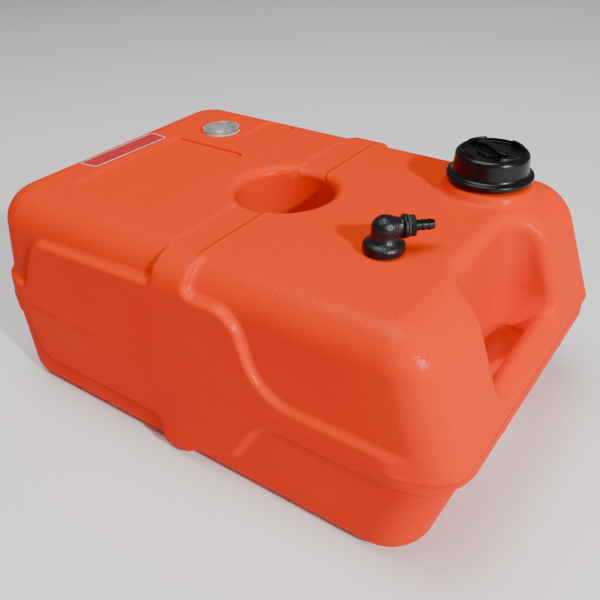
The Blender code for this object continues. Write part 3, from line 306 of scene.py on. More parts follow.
def settled(piece):
    view = bpy.context.evaluated_depsgraph_get()
    mesh = bpy.data.meshes.new_from_object(piece.evaluated_get(view))
    mesh.transform(piece.matrix_world)
    return mesh


# The shell is the zero surface of a distance field, so every edge and root is a true fillet

shell = {
    "length": 0.500,
    "width": 0.340,
    "height": 0.214,
    "wall": 0.0038,
    "partingZ": 0.107,
    "planRadius": (0.046, 0.051),  # rear, front
    # Blocks above and below the parting line: steps and drafts at rear, front and sides,
    # corners at front and rear
    "upper": {
        "steps": (0.001, 0.001, 0.005),
        "drafts": (0.009, 0.037, 0.007),
        "corners": (0.033, 0.041),
        "edge": 0.031,
    },
    "lower": {
        "steps": (0.0015, 0.0045, 0.0045),
        "drafts": (0.001, 0.030, 0.004),
        "corners": (0.0365, 0.0365),
        "edge": 0.021,
    },
    "blockLap": 0.006,
    "frontInset": 0.0009,
    "tuck": (0.0020, 0.006),  # how far a block draws in past the parting line, and how soon
    # The core stands proud of the blocks as side panels and belt
    "core": {
        "draft": 0.003,
        "topEdge": 0.026,
        "baseEdge": 0.0135,
        "drop": 0.0022,
        "frontInset": 0.0008,
        "panelEdge": 0.0032,
        "panelRoot": 0.0038,
        "rootFade": 0.85,
    },
    "ends": (0.222, 0.244),  # where the root of the panels fades, along x
    "sunkFront": 0.0045,
    "sunkRise": 0.003,
    "ledge": (0.0025, 0.010),  # how far the panels narrow at their face, and over what width
    "strap": (-0.0215, 0.0095),
    "strapFoot": {"x": -0.017, "half": 0.0045},
    "strapLap": 0.001,
    "channelRoot": 0.0016,
    # Holes for neck, gauge and outlet, as x, y and radius
    "holes": ((0.152, 0.0955, 0.0265), (-0.152, 0.081, 0.0170), (0.1295, -0.0575, 0.0100)),
    "holeMiddle": 0.215,
    "holeDepth": 0.06,
    "space": ((-0.262, -0.182, -0.012), (0.262, 0.182, 0.232)),
    "cell": 0.0036,
    "cavityCell": 0.010,
}
netting = {"leastSlope": 0.25, "longestPull": 0.004, "ease": 0.6, "bend": math.radians(16)}
shading = {"crease": math.radians(40), "reach": 0.0005, "onSurface": 0.0001, "agreement": 0.8}
well = {
    "x": -0.005,
    "y": -0.003,
    "radius": 0.0465,
    "floorRadius": 0.0405,
    "rim": 0.009,
    "web": 0.006,
    "fillet": 0.008,
}
pocket = {
    "rear": 0.190,
    "front": 0.320,
    "slotHalf": 0.052,
    "slotCorner": 0.014,
    "half": 0.067,
    "corner": 0.027,
    "rise": 0.034,
    "draft": 0.002,
    "rim": 0.012,
}
gripBar = {
    "rear": 0.2225,
    "low": 0.0920,
    "high": 0.1235,
    "pastPocket": 0.030,  # how far its ends run on into the shell
    "radius": 0.0115,
    "lowRadius": 0.003,
    "root": 0.007,
    "rootFade": 0.92,
    "fadeBefore": 0.003,
    "fadeAfter": 0.006,
}
collar = {
    "x": 0.152,
    "y": 0.0955,
    "radius": 0.0400,
    "base": 0.19,
    "height": 0.0088,
    "round": 0.0050,
    "root": 0.0070,
}
# Shallow panels in the top: rear, front, low, high and corner radius, then depth
panels = [
    {"outline": (-0.183, -0.088, -0.108, 0.041, 0.009), "depth": 0.0026},
    {"outline": (-0.1245, -0.087, 0.0775, 0.134, 0.012), "depth": 0.0022},
]
panelEdge = {"round": 0.0010, "band": 0.0026, "depth": 0.004}
# The raised side panel and belt as (x, z, radius), running on past both ends
sideOutline = [
    (-0.270, 0.087, 0),
    (-0.211, 0.087, 0.006),
    (-0.194, 0.041, 0.010),
    (-0.0365, 0.041, 0.006),
    (-0.0365, -0.020, 0),
    (-0.0115, -0.020, 0),
    (-0.0115, 0.0022, 0),
    (0.004, 0.0165, 0.010),
    (0.0527, 0.0355, 0.016),
    (0.0864, 0.092, 0.034),
    (0.270, 0.092, 0),
    (0.270, 0.1235, 0),
    (0.0853, 0.1235, 0.044),
    (0.0617, 0.1905, 0.030),
    (0.0145, 0.1905, 0.008),
    (0.0145, 0.234, 0),
    (-0.0225, 0.234, 0),
    (-0.0225, 0.190, 0.006),
    (-0.174, 0.1835, 0.022),
    (-0.1995, 0.130, 0.006),
    (-0.270, 0.130, 0),
]


def roundedPath(corners, step):
    # Corners as (x, z, radius), each replaced by an arc of short steps
    places = [Vector(corner[:2]) for corner in corners]
    points = []
    for i, (_, _, radius) in enumerate(corners):
        before = (places[i] - places[i - 1]).normalized()
        after = (places[(i + 1) % len(places)] - places[i]).normalized()
        turn = math.atan2(before.x * after.y - before.y * after.x, before.dot(after))
        if not radius:
            points.append(tuple(places[i]))
            continue
        side = math.copysign(1, turn)
        normal = Vector((-before.y, before.x))
        middle = places[i] - before * radius * math.tan(abs(turn) / 2) + normal * radius * side
        start = math.atan2(-normal.y * side, -normal.x * side)
        steps = max(2, math.ceil(abs(turn) / step))
        for k in range(steps + 1):
            angle = start + turn * k / steps
            across = middle.x + radius * math.cos(angle)
            points.append((across, middle.y + radius * math.sin(angle)))
    return points


def pathDistance(x, z, points):
    best = np.full(x.shape, np.inf)
    inside = np.zeros(x.shape, dtype=bool)
    for (ax, az), (bx, bz) in zip(points, points[1:] + points[:1]):
        ex, ez = bx - ax, bz - az
        wx, wz = x - ax, z - az
        along = np.clip((wx * ex + wz * ez) / (ex * ex + ez * ez), 0, 1)
        best = np.minimum(best, (wx - ex * along) ** 2 + (wz - ez * along) ** 2)
        if az != bz:
            crosses = (az > z) != (bz > z)
            inside ^= crosses & (x < ax + ex * (z - az) / ez)
    return np.where(inside, -1, 1) * np.sqrt(best)


outlineGrid = {"x": (-0.262, 0.262), "z": (-0.012, 0.242), "step": 0.0004, "arc": math.radians(4)}


def outlineTable():
    step = outlineGrid["step"]
    xs, zs = (np.arange(*outlineGrid[axis], step) for axis in ("x", "z"))
    points = roundedPath(sideOutline, outlineGrid["arc"])
    table = pathDistance(*np.meshgrid(xs, zs, indexing="ij"), points)
    return xs[0], zs[0], step, table


outline = outlineTable()


def outlineDistance(x, z):
    x0, z0, step, table = outline
    last = 1.001  # keeps the next row and column inside the table
    u = np.clip((x - x0) / step, 0, table.shape[0] - last)
    v = np.clip((z - z0) / step, 0, table.shape[1] - last)
    i, j = u.astype(int), v.astype(int)
    a, b = u - i, v - j
    low = table[i, j] * (1 - b) + table[i, j + 1] * b
    high = table[i + 1, j] * (1 - b) + table[i + 1, j + 1] * b
    return low * (1 - a) + high * a


def slab(value, low, high):
    return np.abs(value - (low + high) / 2) - (high - low) / 2


def roundedRect(x, y, rear, front, low, high, radius):
    qx = slab(x, rear, front) + radius
    qy = slab(y, low, high) + radius
    outside = np.hypot(np.maximum(qx, 0), np.maximum(qy, 0))
    return outside + np.minimum(np.maximum(qx, qy), 0) - radius


def meet(a, b, radius):
    # What lies in both, with the edge between them rounded
    outside = np.hypot(np.maximum(radius + a, 0), np.maximum(radius + b, 0))
    return np.minimum(-radius, np.maximum(a, b)) + outside


def join(a, b, radius):
    # What lies in either, with the root between them filled
    inside = np.hypot(np.maximum(radius - a, 0), np.maximum(radius - b, 0))
    return np.maximum(radius, np.minimum(a, b)) - inside


def blockField(x, y, z, form, face):
    share = (z - shell["partingZ"]) / (face - shell["partingZ"])
    depth, height = shell["tuck"]
    under = depth * np.clip(-share * abs(face - shell["partingZ"]) / height, 0, 1)
    share = np.clip(share, 0, 1)
    insets = zip(form["steps"], form["drafts"])
    rear, front, side = (step + draft * share + under for step, draft in insets)
    half = shell["length"] / 2
    reach = shell["width"] / 2 - side
    corner = np.where(x > 0, *form["corners"])
    plan = roundedRect(x, y, rear - half, half - front, -reach, reach, corner)
    way = 1 if face > 0 else -1
    block = meet(plan, way * (z - face), form["edge"])
    return np.maximum(block, way * (shell["partingZ"] - z) - shell["blockLap"])


def smoothStep(value, low, high):
    share = np.clip((value - low) / (high - low), 0, 1)
    return share * share * (3 - 2 * share)


def coreField(x, y, z):
    form = shell["core"]
    half, side = shell["length"] / 2, shell["width"] / 2
    rise = z - shell["partingZ"]
    inset = form["draft"] * np.abs(rise) / shell["partingZ"]
    share = np.clip(rise / (shell["height"] - shell["partingZ"]), 0, 1)
    sunk = shell["sunkFront"] * smoothStep(rise, 0.0, shell["sunkRise"])
    lean = shell["upper"]["drafts"][1] * share + sunk
    front = half - form["frontInset"] - lean
    corner = np.where(x > 0, shell["planRadius"][1], shell["planRadius"][0])
    plan = roundedRect(x, y, -half + inset, front, inset - side, side - inset, corner)
    end = np.where(rise > 0, z - shell["height"] + form["drop"], form["drop"] - z)
    body = meet(plan, end, np.where(rise > 0, form["topEdge"], form["baseEdge"]))
    slope, width = shell["ledge"]
    tuck = slope * np.clip((np.abs(y) - side + width) / width, 0, 1)
    return meet(body, outlineDistance(x, z) + tuck, form["panelEdge"])


def channelField(x, z):
    foot = shell["strapFoot"]
    floor = shell["core"]["drop"] + shell["strapLap"]
    above = np.maximum(slab(x, *shell["strap"]), shell["height"] - floor - z)
    below = np.maximum(np.abs(x - foot["x"]) - foot["half"], z - floor)
    return np.minimum(above, below)


def wellField(x, y, z):
    away = np.hypot(x - well["x"], y - well["y"])
    level = np.abs(z - shell["partingZ"])
    depth = shell["height"] / 2
    share = np.clip((level - well["web"]) / (depth - well["web"]), 0, 1)
    radius = well["floorRadius"] + (well["radius"] - well["floorRadius"]) * share
    return meet(away - radius, well["web"] / 2 - level, well["fillet"])


def pocketField(x, y, z):
    level = np.abs(z - shell["partingZ"])
    share = np.sin(math.pi / 2 * np.clip(level / pocket["rise"], 0, 1))
    half = pocket["slotHalf"] + (pocket["half"] - pocket["slotHalf"]) * share
    radius = pocket["slotCorner"] + (pocket["corner"] - pocket["slotCorner"]) * share
    rear = pocket["rear"] - pocket["draft"] * share
    return roundedRect(x, y, rear, pocket["front"], -half, half, radius)


def frontFace(z):
    share = np.clip((z - shell["partingZ"]) / (shell["height"] - shell["partingZ"]), 0, 1)
    return shell["length"] / 2 - shell["frontInset"] - shell["upper"]["drafts"][1] * share


def gripField(x, y, z):
    bar = gripBar
    across = np.maximum(bar["rear"] - x, x - frontFace(z))
    section = meet(across, z - bar["high"], bar["radius"])
    section = meet(section, bar["low"] - z, bar["lowRadius"])
    return np.maximum(section, np.abs(y) - pocket["half"] - bar["pastPocket"])


def shellField(points, withGrip=True):
    x, y, z = points
    upper = blockField(x, y, z, shell["upper"], shell["height"])
    lower = blockField(x, y, z, shell["lower"], 0.0)
    blocks = meet(np.minimum(upper, lower), -channelField(x, z), shell["channelRoot"])
    core = shell["core"]
    root = core["panelRoot"] * (1 - core["rootFade"] * smoothStep(np.abs(x), *shell["ends"]))
    body = join(blocks, coreField(x, y, z), root)
    body = meet(body, -wellField(x, y, z), well["rim"])
    body = meet(body, -pocketField(x, y, z), pocket["rim"])
    if not withGrip:
        return body
    ends = (pocket["half"] - gripBar["fadeBefore"], pocket["half"] + gripBar["fadeAfter"])
    root = gripBar["root"] * (1 - gripBar["rootFade"] * smoothStep(np.abs(y), *ends))
    body = join(body, gripField(x, y, z), root)
    body = np.maximum(body, x - frontFace(z))
    away = np.hypot(x - collar["x"], y - collar["y"])
    top = shell["height"] + collar["height"]
    rise = meet(away - collar["radius"], z - top, collar["round"])
    body = join(body, np.maximum(rise, collar["base"] - z), collar["root"])
    for form in panels:
        sunk = roundedRect(x, y, *form["outline"])
        sunk = np.maximum(sunk, shell["height"] - form["depth"] - z)
        body = meet(body, -sunk, panelEdge["round"])
    return body


def cavityField(points):
    return shellField(points, withGrip=False) + shell["wall"]


def gradient(field, points, reach=0.0003):
    slopes = []
    for axis in range(3):
        offset = np.zeros((3, 1))
        offset[axis] = reach
        slopes.append((field(points + offset) - field(points - offset)) / (2 * reach))
    return np.array(slopes)


def pulled(field, points, rounds=3):
    for _ in range(rounds):
        slope = gradient(field, points)
        size = np.maximum((slope ** 2).sum(0), netting["leastSlope"])
        step = np.clip(field(points), -netting["longestPull"], netting["longestPull"])
        points = points - step * slope / size
    return points


def netted(field, low, high, cell):
    # Surface net: one point in each cell that the surface crosses, one quad for each crossed edge
    xs, ys, zs = (np.arange(low[axis], high[axis] + cell, cell) for axis in range(3))
    grid = np.array(np.meshgrid(xs, ys, zs, indexing="ij"))
    values = field(grid.reshape(3, -1)).reshape(grid.shape[1:])
    inside = values < 0
    shape = [count - 1 for count in values.shape]
    total = np.zeros((3, *shape))
    count = np.zeros(shape)
    crossings = []
    for axis in range(3):
        first = [slice(None)] * 3
        second = [slice(None)] * 3
        first[axis] = slice(None, -1)
        second[axis] = slice(1, None)
        first, second = tuple(first), tuple(second)
        crossed = inside[first] != inside[second]
        where = np.argwhere(crossed)
        a = values[first][crossed]
        share = a / (a - values[second][crossed])
        place = np.array([(xs, ys, zs)[k][where[:, k]] for k in range(3)])
        place[axis] += cell * share
        others = [k for k in range(3) if k != axis]
        cellsRound = []
        for du, dv in ((-1, -1), (0, -1), (0, 0), (-1, 0)):
            index = where.copy()
            index[:, others[0]] += du
            index[:, others[1]] += dv
            cellsRound.append(index)
            key = tuple(index.T)
            for k in range(3):
                np.add.at(total[k], key, place[k])
            np.add.at(count, key, 1)
        flip = inside[first][crossed] ^ (axis == 1)
        crossings.append((cellsRound, flip))
    used = count > 0
    numbers = np.cumsum(used).reshape(used.shape) - 1
    points = np.array([total[k][used] / count[used] for k in range(3)])
    quads = []
    for cellsRound, flip in crossings:
        ids = np.array([numbers[tuple(index.T)] for index in cellsRound]).T
        quads.append(np.where(flip[:, None], ids, ids[:, ::-1]))
    return points, np.concatenate(quads)


def relaxed(field, points, quads, rounds):
    a = np.concatenate([quads[:, k] for k in range(4)])
    b = np.concatenate([quads[:, (k + 1) % 4] for k in range(4)])
    total = points.shape[1]
    degree = np.bincount(a, minlength=total) + np.bincount(b, minlength=total)
    for _ in range(rounds):
        mean = np.array([
            np.bincount(a, row[b], total) + np.bincount(b, row[a], total) for row in points
        ]) / degree
        points = pulled(field, points + netting["ease"] * (mean - points), 1)
    return points


def meshOf(name, points, faces):
    mesh = bpy.data.meshes.new(name)
    mesh.from_pydata(points.T.tolist(), [], faces.tolist())
    return mesh


def vertexPlaces(mesh):
    points = np.empty(len(mesh.vertices) * 3)
    mesh.vertices.foreach_get("co", points)
    return points.reshape(-1, 3).T


def fieldNormals(field, points, reach=0.0003):
    slope = gradient(field, points, reach)
    return (slope / np.linalg.norm(slope, axis=0)).T


def nearPanelEdge(points):
    x, y, z = points
    edges = [np.abs(roundedRect(x, y, *form["outline"])) for form in panels]
    near = np.min(edges, axis=0) < panelEdge["band"]
    return near & (z > shell["height"] - panelEdge["depth"])


def refined(field, mesh, limit):
    # Halves the faces that bend past the limit or lie at a panel's edge, then pulls the points on
    normals = fieldNormals(field, vertexPlaces(mesh))
    form = bmesh.new()
    form.from_mesh(mesh)
    form.verts.ensure_lookup_table()
    near = nearPanelEdge(np.array([tuple(face.calc_center_median()) for face in form.faces]).T)
    chosen = set()
    for face in form.faces:
        ids = [vert.index for vert in face.verts]
        corners = ((ids[0], ids[2]), (ids[1], ids[-1]))
        spread = min(float(normals[a] @ normals[b]) for a, b in corners)
        if spread < limit or near[face.index]:
            chosen.update(face.edges)
    bmesh.ops.subdivide_edges(form, edges=list(chosen), cuts=1, use_grid_fill=True)
    bmesh.ops.triangulate(form, faces=[face for face in form.faces if len(face.verts) > 4])
    form.to_mesh(mesh)
    form.free()
    mesh.vertices.foreach_set("co", pulled(field, vertexPlaces(mesh)).T.ravel())
    mesh.update()


def cavityCutter():
    points, quads = netted(cavityField, *shell["space"], shell["cavityCell"])
    points = relaxed(cavityField, points, quads, 2)
    return newObject("inside", meshOf("inside", points, quads))


def cutBy(piece, cutter, operation="DIFFERENCE"):
    modifier = piece.modifiers.new("Cut", "BOOLEAN")
    modifier.operation = operation
    modifier.object = cutter
    piece.data = settled(piece)
    piece.modifiers.clear()
    bpy.data.objects.remove(cutter)


def holeCutter(x, y, radius):
    form = bmesh.new()
    bmesh.ops.create_cone(
        form,
        cap_ends=True,
        segments=64,
        radius1=radius,
        radius2=radius,
        depth=shell["holeDepth"],
        matrix=Matrix.Translation((x, y, shell["holeMiddle"])),
    )
    mesh = bpy.data.meshes.new("hole")
    form.to_mesh(mesh)
    form.free()
    return newObject("hole", mesh)


def smoothShell(mesh):
    # The outside takes its normals from the field, so it shades without facets
    mesh.shade_smooth()
    mesh.set_sharp_from_angle(angle=shading["crease"])
    corners = np.empty(len(mesh.loops) * 3)
    mesh.corner_normals.foreach_get("vector", corners)
    corners = corners.reshape(-1, 3)
    owners = np.empty(len(mesh.loops), dtype=int)
    mesh.loops.foreach_get("vertex_index", owners)
    points = vertexPlaces(mesh)
    normals = fieldNormals(shellField, points, shading["reach"])
    onOutside = np.abs(shellField(points)) < shading["onSurface"]
    agree = (normals[owners] * corners).sum(1) > shading["agreement"]
    use = onOutside[owners] & agree
    corners[use] = normals[owners[use]]
    mesh.normals_split_custom_set(corners.tolist())


def paintLightOnTop(mesh):
    # Painted light: faces that look up and towards +X get a paler, yellower colour, as if lit
    # from there
    normals = np.empty(len(mesh.vertices) * 3)
    mesh.vertices.foreach_get("normal", normals)
    facing = normals.reshape(-1, 3) @ np.array(orangeLook["paintedLightFrom"])
    fade = np.clip(facing / orangeLook["paintedLightFull"], 0, 1).astype(np.float32)
    mesh.attributes.new("fade", "FLOAT", "POINT").data.foreach_set("value", fade)


def tankShell():
    points, quads = netted(shellField, *shell["space"], shell["cell"])
    points = relaxed(shellField, pulled(shellField, points, 4), quads, 4)
    points = pulled(shellField, points)
    mesh = meshOf("tankShell", points, quads)
    for limit in (math.cos(netting["bend"]), -1.0):
        refined(shellField, mesh, limit)
    piece = addPiece("tankShell", mesh, "orange", "root")
    inside = cavityCutter()
    for hole in shell["holes"]:
        cutBy(inside, holeCutter(*hole), "UNION")
    cutBy(piece, inside)
    smoothShell(piece.data)
    # Painted light: paler colour stored on faces turned towards the light
    paintLightOnTop(piece.data)
    paint(piece.data, looks["orange"])
    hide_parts("tank_body")
    return piece


shellPiece = tankShell()
print("shell:", len(shellPiece.data.polygons), "faces")


# Small pieces: turned and swept sections, and distance fields for the soft castings

turning = {"arc": math.radians(11), "weld": 0.000002, "sliver": 0.000001}


def gridMesh(name, points, wrapRows=True):
    rows, columns = points.shape[1:]
    ids = np.arange(rows * columns).reshape(rows, columns)
    down = np.roll(ids, -1, 0) if wrapRows else ids[1:]
    ids = ids if wrapRows else ids[:-1]
    quads = np.stack([ids, down, np.roll(down, -1, 1), np.roll(ids, -1, 1)], axis=-1)
    mesh = meshOf(name, points.reshape(3, -1), quads.reshape(-1, 4))
    form = bmesh.new()
    form.from_mesh(mesh)
    bmesh.ops.remove_doubles(form, verts=form.verts, dist=turning["weld"])
    bmesh.ops.dissolve_degenerate(form, edges=form.edges, dist=turning["sliver"])
    bmesh.ops.recalc_face_normals(form, faces=form.faces)
    form.to_mesh(mesh)
    form.free()
    return mesh


def lathe(name, corners, place, steps, change=None):
    # Corners as (radius, height, rounding) of a closed section
    section = np.array(roundedPath(corners, turning["arc"])).T
    angles = np.arange(steps)[:, None] * 2 * math.pi / steps
    radius, height = section[:, None, :] + 0 * angles
    if change:
        radius, height = change(radius, height, angles)
    points = np.array([radius * np.cos(angles), radius * np.sin(angles), height])
    return gridMesh(name, points + np.array(place)[:, None, None])


ridgeForm = {"steps": 72, "fade": 0.12, "least": 0.02, "flat": 0.45}


def thread(name, form, place):
    # A helical ridge: the section rides up by one pitch each turn and fades at both ends
    count = int(form["turns"] * ridgeForm["steps"]) + 1
    turns = np.linspace(0, form["turns"], count)
    fade = np.minimum(turns, form["turns"] - turns) / ridgeForm["fade"]
    fade = np.clip(fade, ridgeForm["least"], 1)
    flat = ridgeForm["flat"]
    points = []
    for out, up in ((0, -1), (1, -flat), (1, flat), (0, 1)):
        radius = form["root"] + (form["crest"] - form["root"]) * out * fade
        angle = 2 * math.pi * turns + form["phase"]
        height = form["low"] + form["pitch"] * turns + up * form["half"]
        points.append((radius * np.cos(angle), radius * np.sin(angle), height))
    points = np.array(points).transpose(1, 2, 0)
    return gridMesh(name, points + np.array(place)[:, None, None], wrapRows=False)


def joined(name, meshes, matrix=None):
    form = bmesh.new()
    for mesh in meshes:
        form.from_mesh(mesh)
        bpy.data.meshes.remove(mesh)
    whole = bpy.data.meshes.new(name)
    form.to_mesh(whole)
    form.free()
    if matrix:
        whole.transform(matrix)
    return whole


def shaded(piece, angle=38):
    piece.data.shade_smooth()
    piece.data.set_sharp_from_angle(angle=math.radians(angle))
    modifier = piece.modifiers.new("Normals", "WEIGHTED_NORMAL")
    modifier.keep_sharp = True
    look = piece.data.materials[0]
    piece.data = settled(piece)
    piece.modifiers.clear()
    paint(piece.data, look)
    return piece


def fieldMesh(name, field, low, high, cell):
    points, quads = netted(field, low, high, cell)
    points = relaxed(field, pulled(field, points, 3), quads, 3)
    return meshOf(name, pulled(field, points), quads)


# Filler neck and cap

cap = {
    "place": (0.152, 0.0955, 0),
    "neck": [
        (0.0250, 0.2150, 0),
        (0.0250, 0.2395, 0.0008),
        (0.0288, 0.2395, 0.0008),
        (0.0288, 0.2208, 0.0006),
        (0.0300, 0.2196, 0.0006),
        (0.0300, 0.2150, 0),
    ],
    "outline": [
        (0.0038, 0.2445, 0),
        (0.0301, 0.2445, 0.0010),
        (0.0301, 0.2264, 0.0003),
        (0.0306, 0.2259, 0.0002),
        (0.0388, 0.2259, 0.0018),
        (0.0388, 0.2304, 0.0020),
        (0.0337, 0.2318, 0.0036),
        (0.0326, 0.2505, 0.0050),
        (0.0284, 0.2505, 0.0009),
        (0.0280, 0.2480, 0.0006),
        (0.0038, 0.2480, 0.0003),
    ],
    "lug": [
        (0.0244, 0.2474, 0),
        (0.0247, 0.2529, 0.0007),
        (0.0280, 0.2527, 0.0012),
        (0.0286, 0.2474, 0),
    ],
    "lugGap": 0.0108,
    "lugEdge": (0.0004, 0.0012),
    "gapAngle": math.radians(9),
}
sameThread = {"pitch": 0.004, "turns": 2.6, "phase": 0.4}
neckThread = {**sameThread, "root": 0.0286, "crest": 0.0297, "half": 0.0009, "low": 0.2244}
capThread = {**sameThread, "root": 0.0303, "crest": 0.0292, "half": 0.0008, "low": 0.2304}


def lugRise(radius, height, angles):
    quarter = math.pi / 2
    away = np.mod(angles - cap["gapAngle"] + quarter / 2, quarter) - quarter / 2
    before, after = cap["lugEdge"]
    beside = radius * np.abs(np.sin(away))
    rise = smoothStep(beside, cap["lugGap"] - before, cap["lugGap"] + after)
    foot = cap["lug"][0][1]
    return radius, foot + (height - foot) * rise


def fillerNeck():
    tube = lathe("tube", cap["neck"], cap["place"], 128)
    ridge = thread("ridge", neckThread, cap["place"])
    mesh = joined("fillerNeck", [tube, ridge])
    return shaded(addPiece("fillerNeck", mesh, "orange", "root"))


def fillerCap():
    meshes = [
        lathe("wall", cap["outline"], cap["place"], 160),
        lathe("lugs", cap["lug"], cap["place"], 360, lugRise),
        thread("ridge", capThread, cap["place"]),
    ]
    piece = addPiece("fillerCap", joined("fillerCap", meshes), "black", "cap")
    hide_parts("filler_cap")
    return shaded(piece)


fillerNeck()
fillerCap()


# Vent knob: a disc with an S-shaped finger bar, and the headed stem that holds it in the cap

vent = {
    "turn": math.radians(-27),
    "disc": (0.0130, 0.2483, 0.2497),  # radius, low, high
    "reach": 0.0175,
    "top": 0.2545,
    "swing": 0.0016,
    "halfEnds": 0.0044,
    "waist": 0.0012,
    "narrower": 0.0010,
    "slope": (0.0012, -0.2, 1.0),  # drop of the top, and the part of the reach it runs over
    "discEdge": 0.0004,
    "topEdge": 0.0015,
    "endEdge": 0.0022,
    "root": 0.0009,
    "space": ((-0.019, -0.015, 0.2475), (0.019, 0.015, 0.2552)),
    "cell": 0.00055,
    "stem": [
        (0, 0.2490, 0),
        (0.0032, 0.2490, 0),
        (0.0032, 0.2424, 0),
        (0.0050, 0.2424, 0.0003),
        (0.0034, 0.2416, 0.0003),
        (0, 0.2416, 0),
    ],
}


def ventField(points):
    x, y, z = points
    across, along = math.sin(vent["turn"]), math.cos(vent["turn"])
    u = x * along + y * across
    v = y * along - x * across
    radius, low, high = vent["disc"]
    disc = meet(np.hypot(x, y) - radius, slab(z, low, high), vent["discEdge"])
    share = np.clip(u / vent["reach"], -1, 1)
    middle = -vent["swing"] * np.sin(math.pi * share)
    half = vent["halfEnds"] - vent["waist"] * (1 + np.cos(math.pi * share)) / 2
    half = half - vent["narrower"] * np.maximum(share, 0)
    drop, start, end = vent["slope"]
    top = vent["top"] - drop * smoothStep(share, start, end)
    bar = meet(np.abs(v - middle) - half, z - top, vent["topEdge"])
    bar = meet(bar, np.abs(u) - vent["reach"], vent["endEdge"])
    return join(disc, np.maximum(bar, low + vent["discEdge"] - z), vent["root"])


def ventKnob():
    knob = fieldMesh("knob", ventField, *vent["space"], vent["cell"])
    knob.transform(Matrix.Translation(cap["place"]))
    stem = lathe("stem", vent["stem"], cap["place"], 48)
    mesh = joined("ventKnob", [knob, stem])
    piece = addPiece("ventKnob", mesh, "black", "vent")
    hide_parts("vent_knob")
    return shaded(piece)


ventKnob()


# Outlet: a bell-shaped elbow with a spigot, and the barbed tail that screws into it

outlet = {
    "place": (0.1295, -0.0575),
    "turn": math.radians(42),
    "axis": 0.2345,
    "seat": 0.2162,
    "foot": (0.0167, 0.0058, 0.0026),  # radius, thickness, edge
    "column": 0.0106,
    "flare": 0.0085,
    "spigot": 0.0074,
    "blend": 0.0042,
    "collar": (0.0138, 0.0170, 0.0096),  # start, end, radius
    "stem": (0.0058, 0.2062),  # radius, lower end
    "stemLap": 0.001,
    "dome": 1.08,
    "edge": 0.0006,
    "collarEdge": 0.0009,
    "space": ((-0.0185, -0.0185, 0.2050), (0.0230, 0.0230, 0.2480)),
    "cell": 0.0009,
    "tail": [
        (0.0026, 0.0095, 0.0003),
        (0.0049, 0.0095, 0.0004),
        (0.0049, 0.0200, 0),
        (0.0040, 0.0200, 0),
        (0.0040, 0.0238, 0.0004),
        (0.0047, 0.0242, 0.0003),
        (0.0038, 0.0285, 0.0002),
        (0.0046, 0.0289, 0.0003),
        (0.0038, 0.0334, 0.0002),
        (0.0046, 0.0338, 0.0003),
        (0.0037, 0.0387, 0.0005),
        (0.0026, 0.0390, 0.0004),
    ],
    "nut": [
        (0.0036, 0.0191, 0),
        (0.0083, 0.0191, 0),
        (0.0089, 0.0194, 0),
        (0.0095, 0.0198, 0),
        (0.0096, 0.0200, 0),
        (0.0096, 0.0224, 0),
        (0.0095, 0.0226, 0),
        (0.0089, 0.0230, 0),
        (0.0083, 0.0233, 0),
        (0.0036, 0.0233, 0),
    ],
    "flats": 0.00825,
}


def elbowField(points):
    x, y, z = points
    seat, axis = outlet["seat"], outlet["axis"]
    away = np.hypot(x, y)
    radius, thickness, edge = outlet["foot"]
    foot = meet(away - radius, z - seat - thickness, edge)
    above = np.maximum(z - axis, 0)
    column = np.hypot(away, above * outlet["dome"]) - outlet["column"]
    body = join(foot, column, outlet["flare"])
    along = x * math.cos(outlet["turn"]) + y * math.sin(outlet["turn"])
    sideways = y * math.cos(outlet["turn"]) - x * math.sin(outlet["turn"])
    ring = np.hypot(sideways, z - axis)
    start, end, wide = outlet["collar"]
    spigot = np.maximum(meet(ring - outlet["spigot"], along - end, outlet["edge"]), -along)
    body = join(body, spigot, outlet["blend"])
    flange = meet(ring - wide, slab(along, start, end), outlet["collarEdge"])
    body = np.maximum(join(body, flange, outlet["collarEdge"]), seat - z)
    radius, low = outlet["stem"]
    length = np.abs(z - (seat + low) / 2) - (seat - low + outlet["stemLap"]) / 2
    return np.minimum(body, meet(away - radius, length, outlet["edge"]))


def alongOutlet():
    shift = Matrix.Translation((*outlet["place"], outlet["axis"]))
    return shift @ Matrix.Rotation(outlet["turn"], 4, "Z") @ Matrix.Rotation(math.pi / 2, 4, "Y")


def outletElbow():
    body = fieldMesh("body", elbowField, *outlet["space"], outlet["cell"])
    mesh = joined("outletElbow", [body], Matrix.Translation((*outlet["place"], 0)))
    piece = addPiece("outletElbow", mesh, "casting", "outlet")
    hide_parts("outlet_elbow")
    return shaded(piece, 50)


def toHexagon(radius, height, angles):
    sixth = math.pi / 3
    away = np.mod(angles, sixth) - sixth / 2
    return np.minimum(radius, outlet["flats"] / np.cos(away)), height


def hoseTail():
    tail = lathe("tail", outlet["tail"], (0, 0, 0), 64)
    nut = lathe("nut", outlet["nut"], (0, 0, 0), 120, toHexagon)
    mesh = joined("hoseTail", [tail, nut], alongOutlet())
    piece = addPiece("hoseTail", mesh, "black", "outlet")
    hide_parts("hose_barb")
    return shaded(piece, 30)


outletElbow()
hoseTail()


# Float gauge: a clear stepped window over a printed dial

gauge = {
    "place": (-0.152, 0.081, 0),
    "window": [
        (0, 0.2193, 0),
        (0.0070, 0.21915, 0),
        (0.0124, 0.2189, 0.0007),
        (0.0136, 0.2179, 0.0005),
        (0.0150, 0.2179, 0.0004),
        (0.0156, 0.2173, 0.0004),
        (0.0166, 0.2173, 0.0004),
        (0.0172, 0.2180, 0.0004),
        (0.0206, 0.2178, 0.0009),
        (0.0207, 0.2158, 0.0005),
        (0.0119, 0.2158, 0.0003),
        (0.0117, 0.2172, 0.0005),
        (0, 0.2175, 0),
    ],
}


def gaugeWindow():
    mesh = lathe("gaugeWindow", gauge["window"], gauge["place"], 144)
    piece = addPiece("gaugeWindow", mesh, "clear", "root")
    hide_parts("gauge_lens")
    return shaded(piece, 40)


gaugeWindow()


# Geometry Nodes: what repeats round the dial, and what follows the parting line

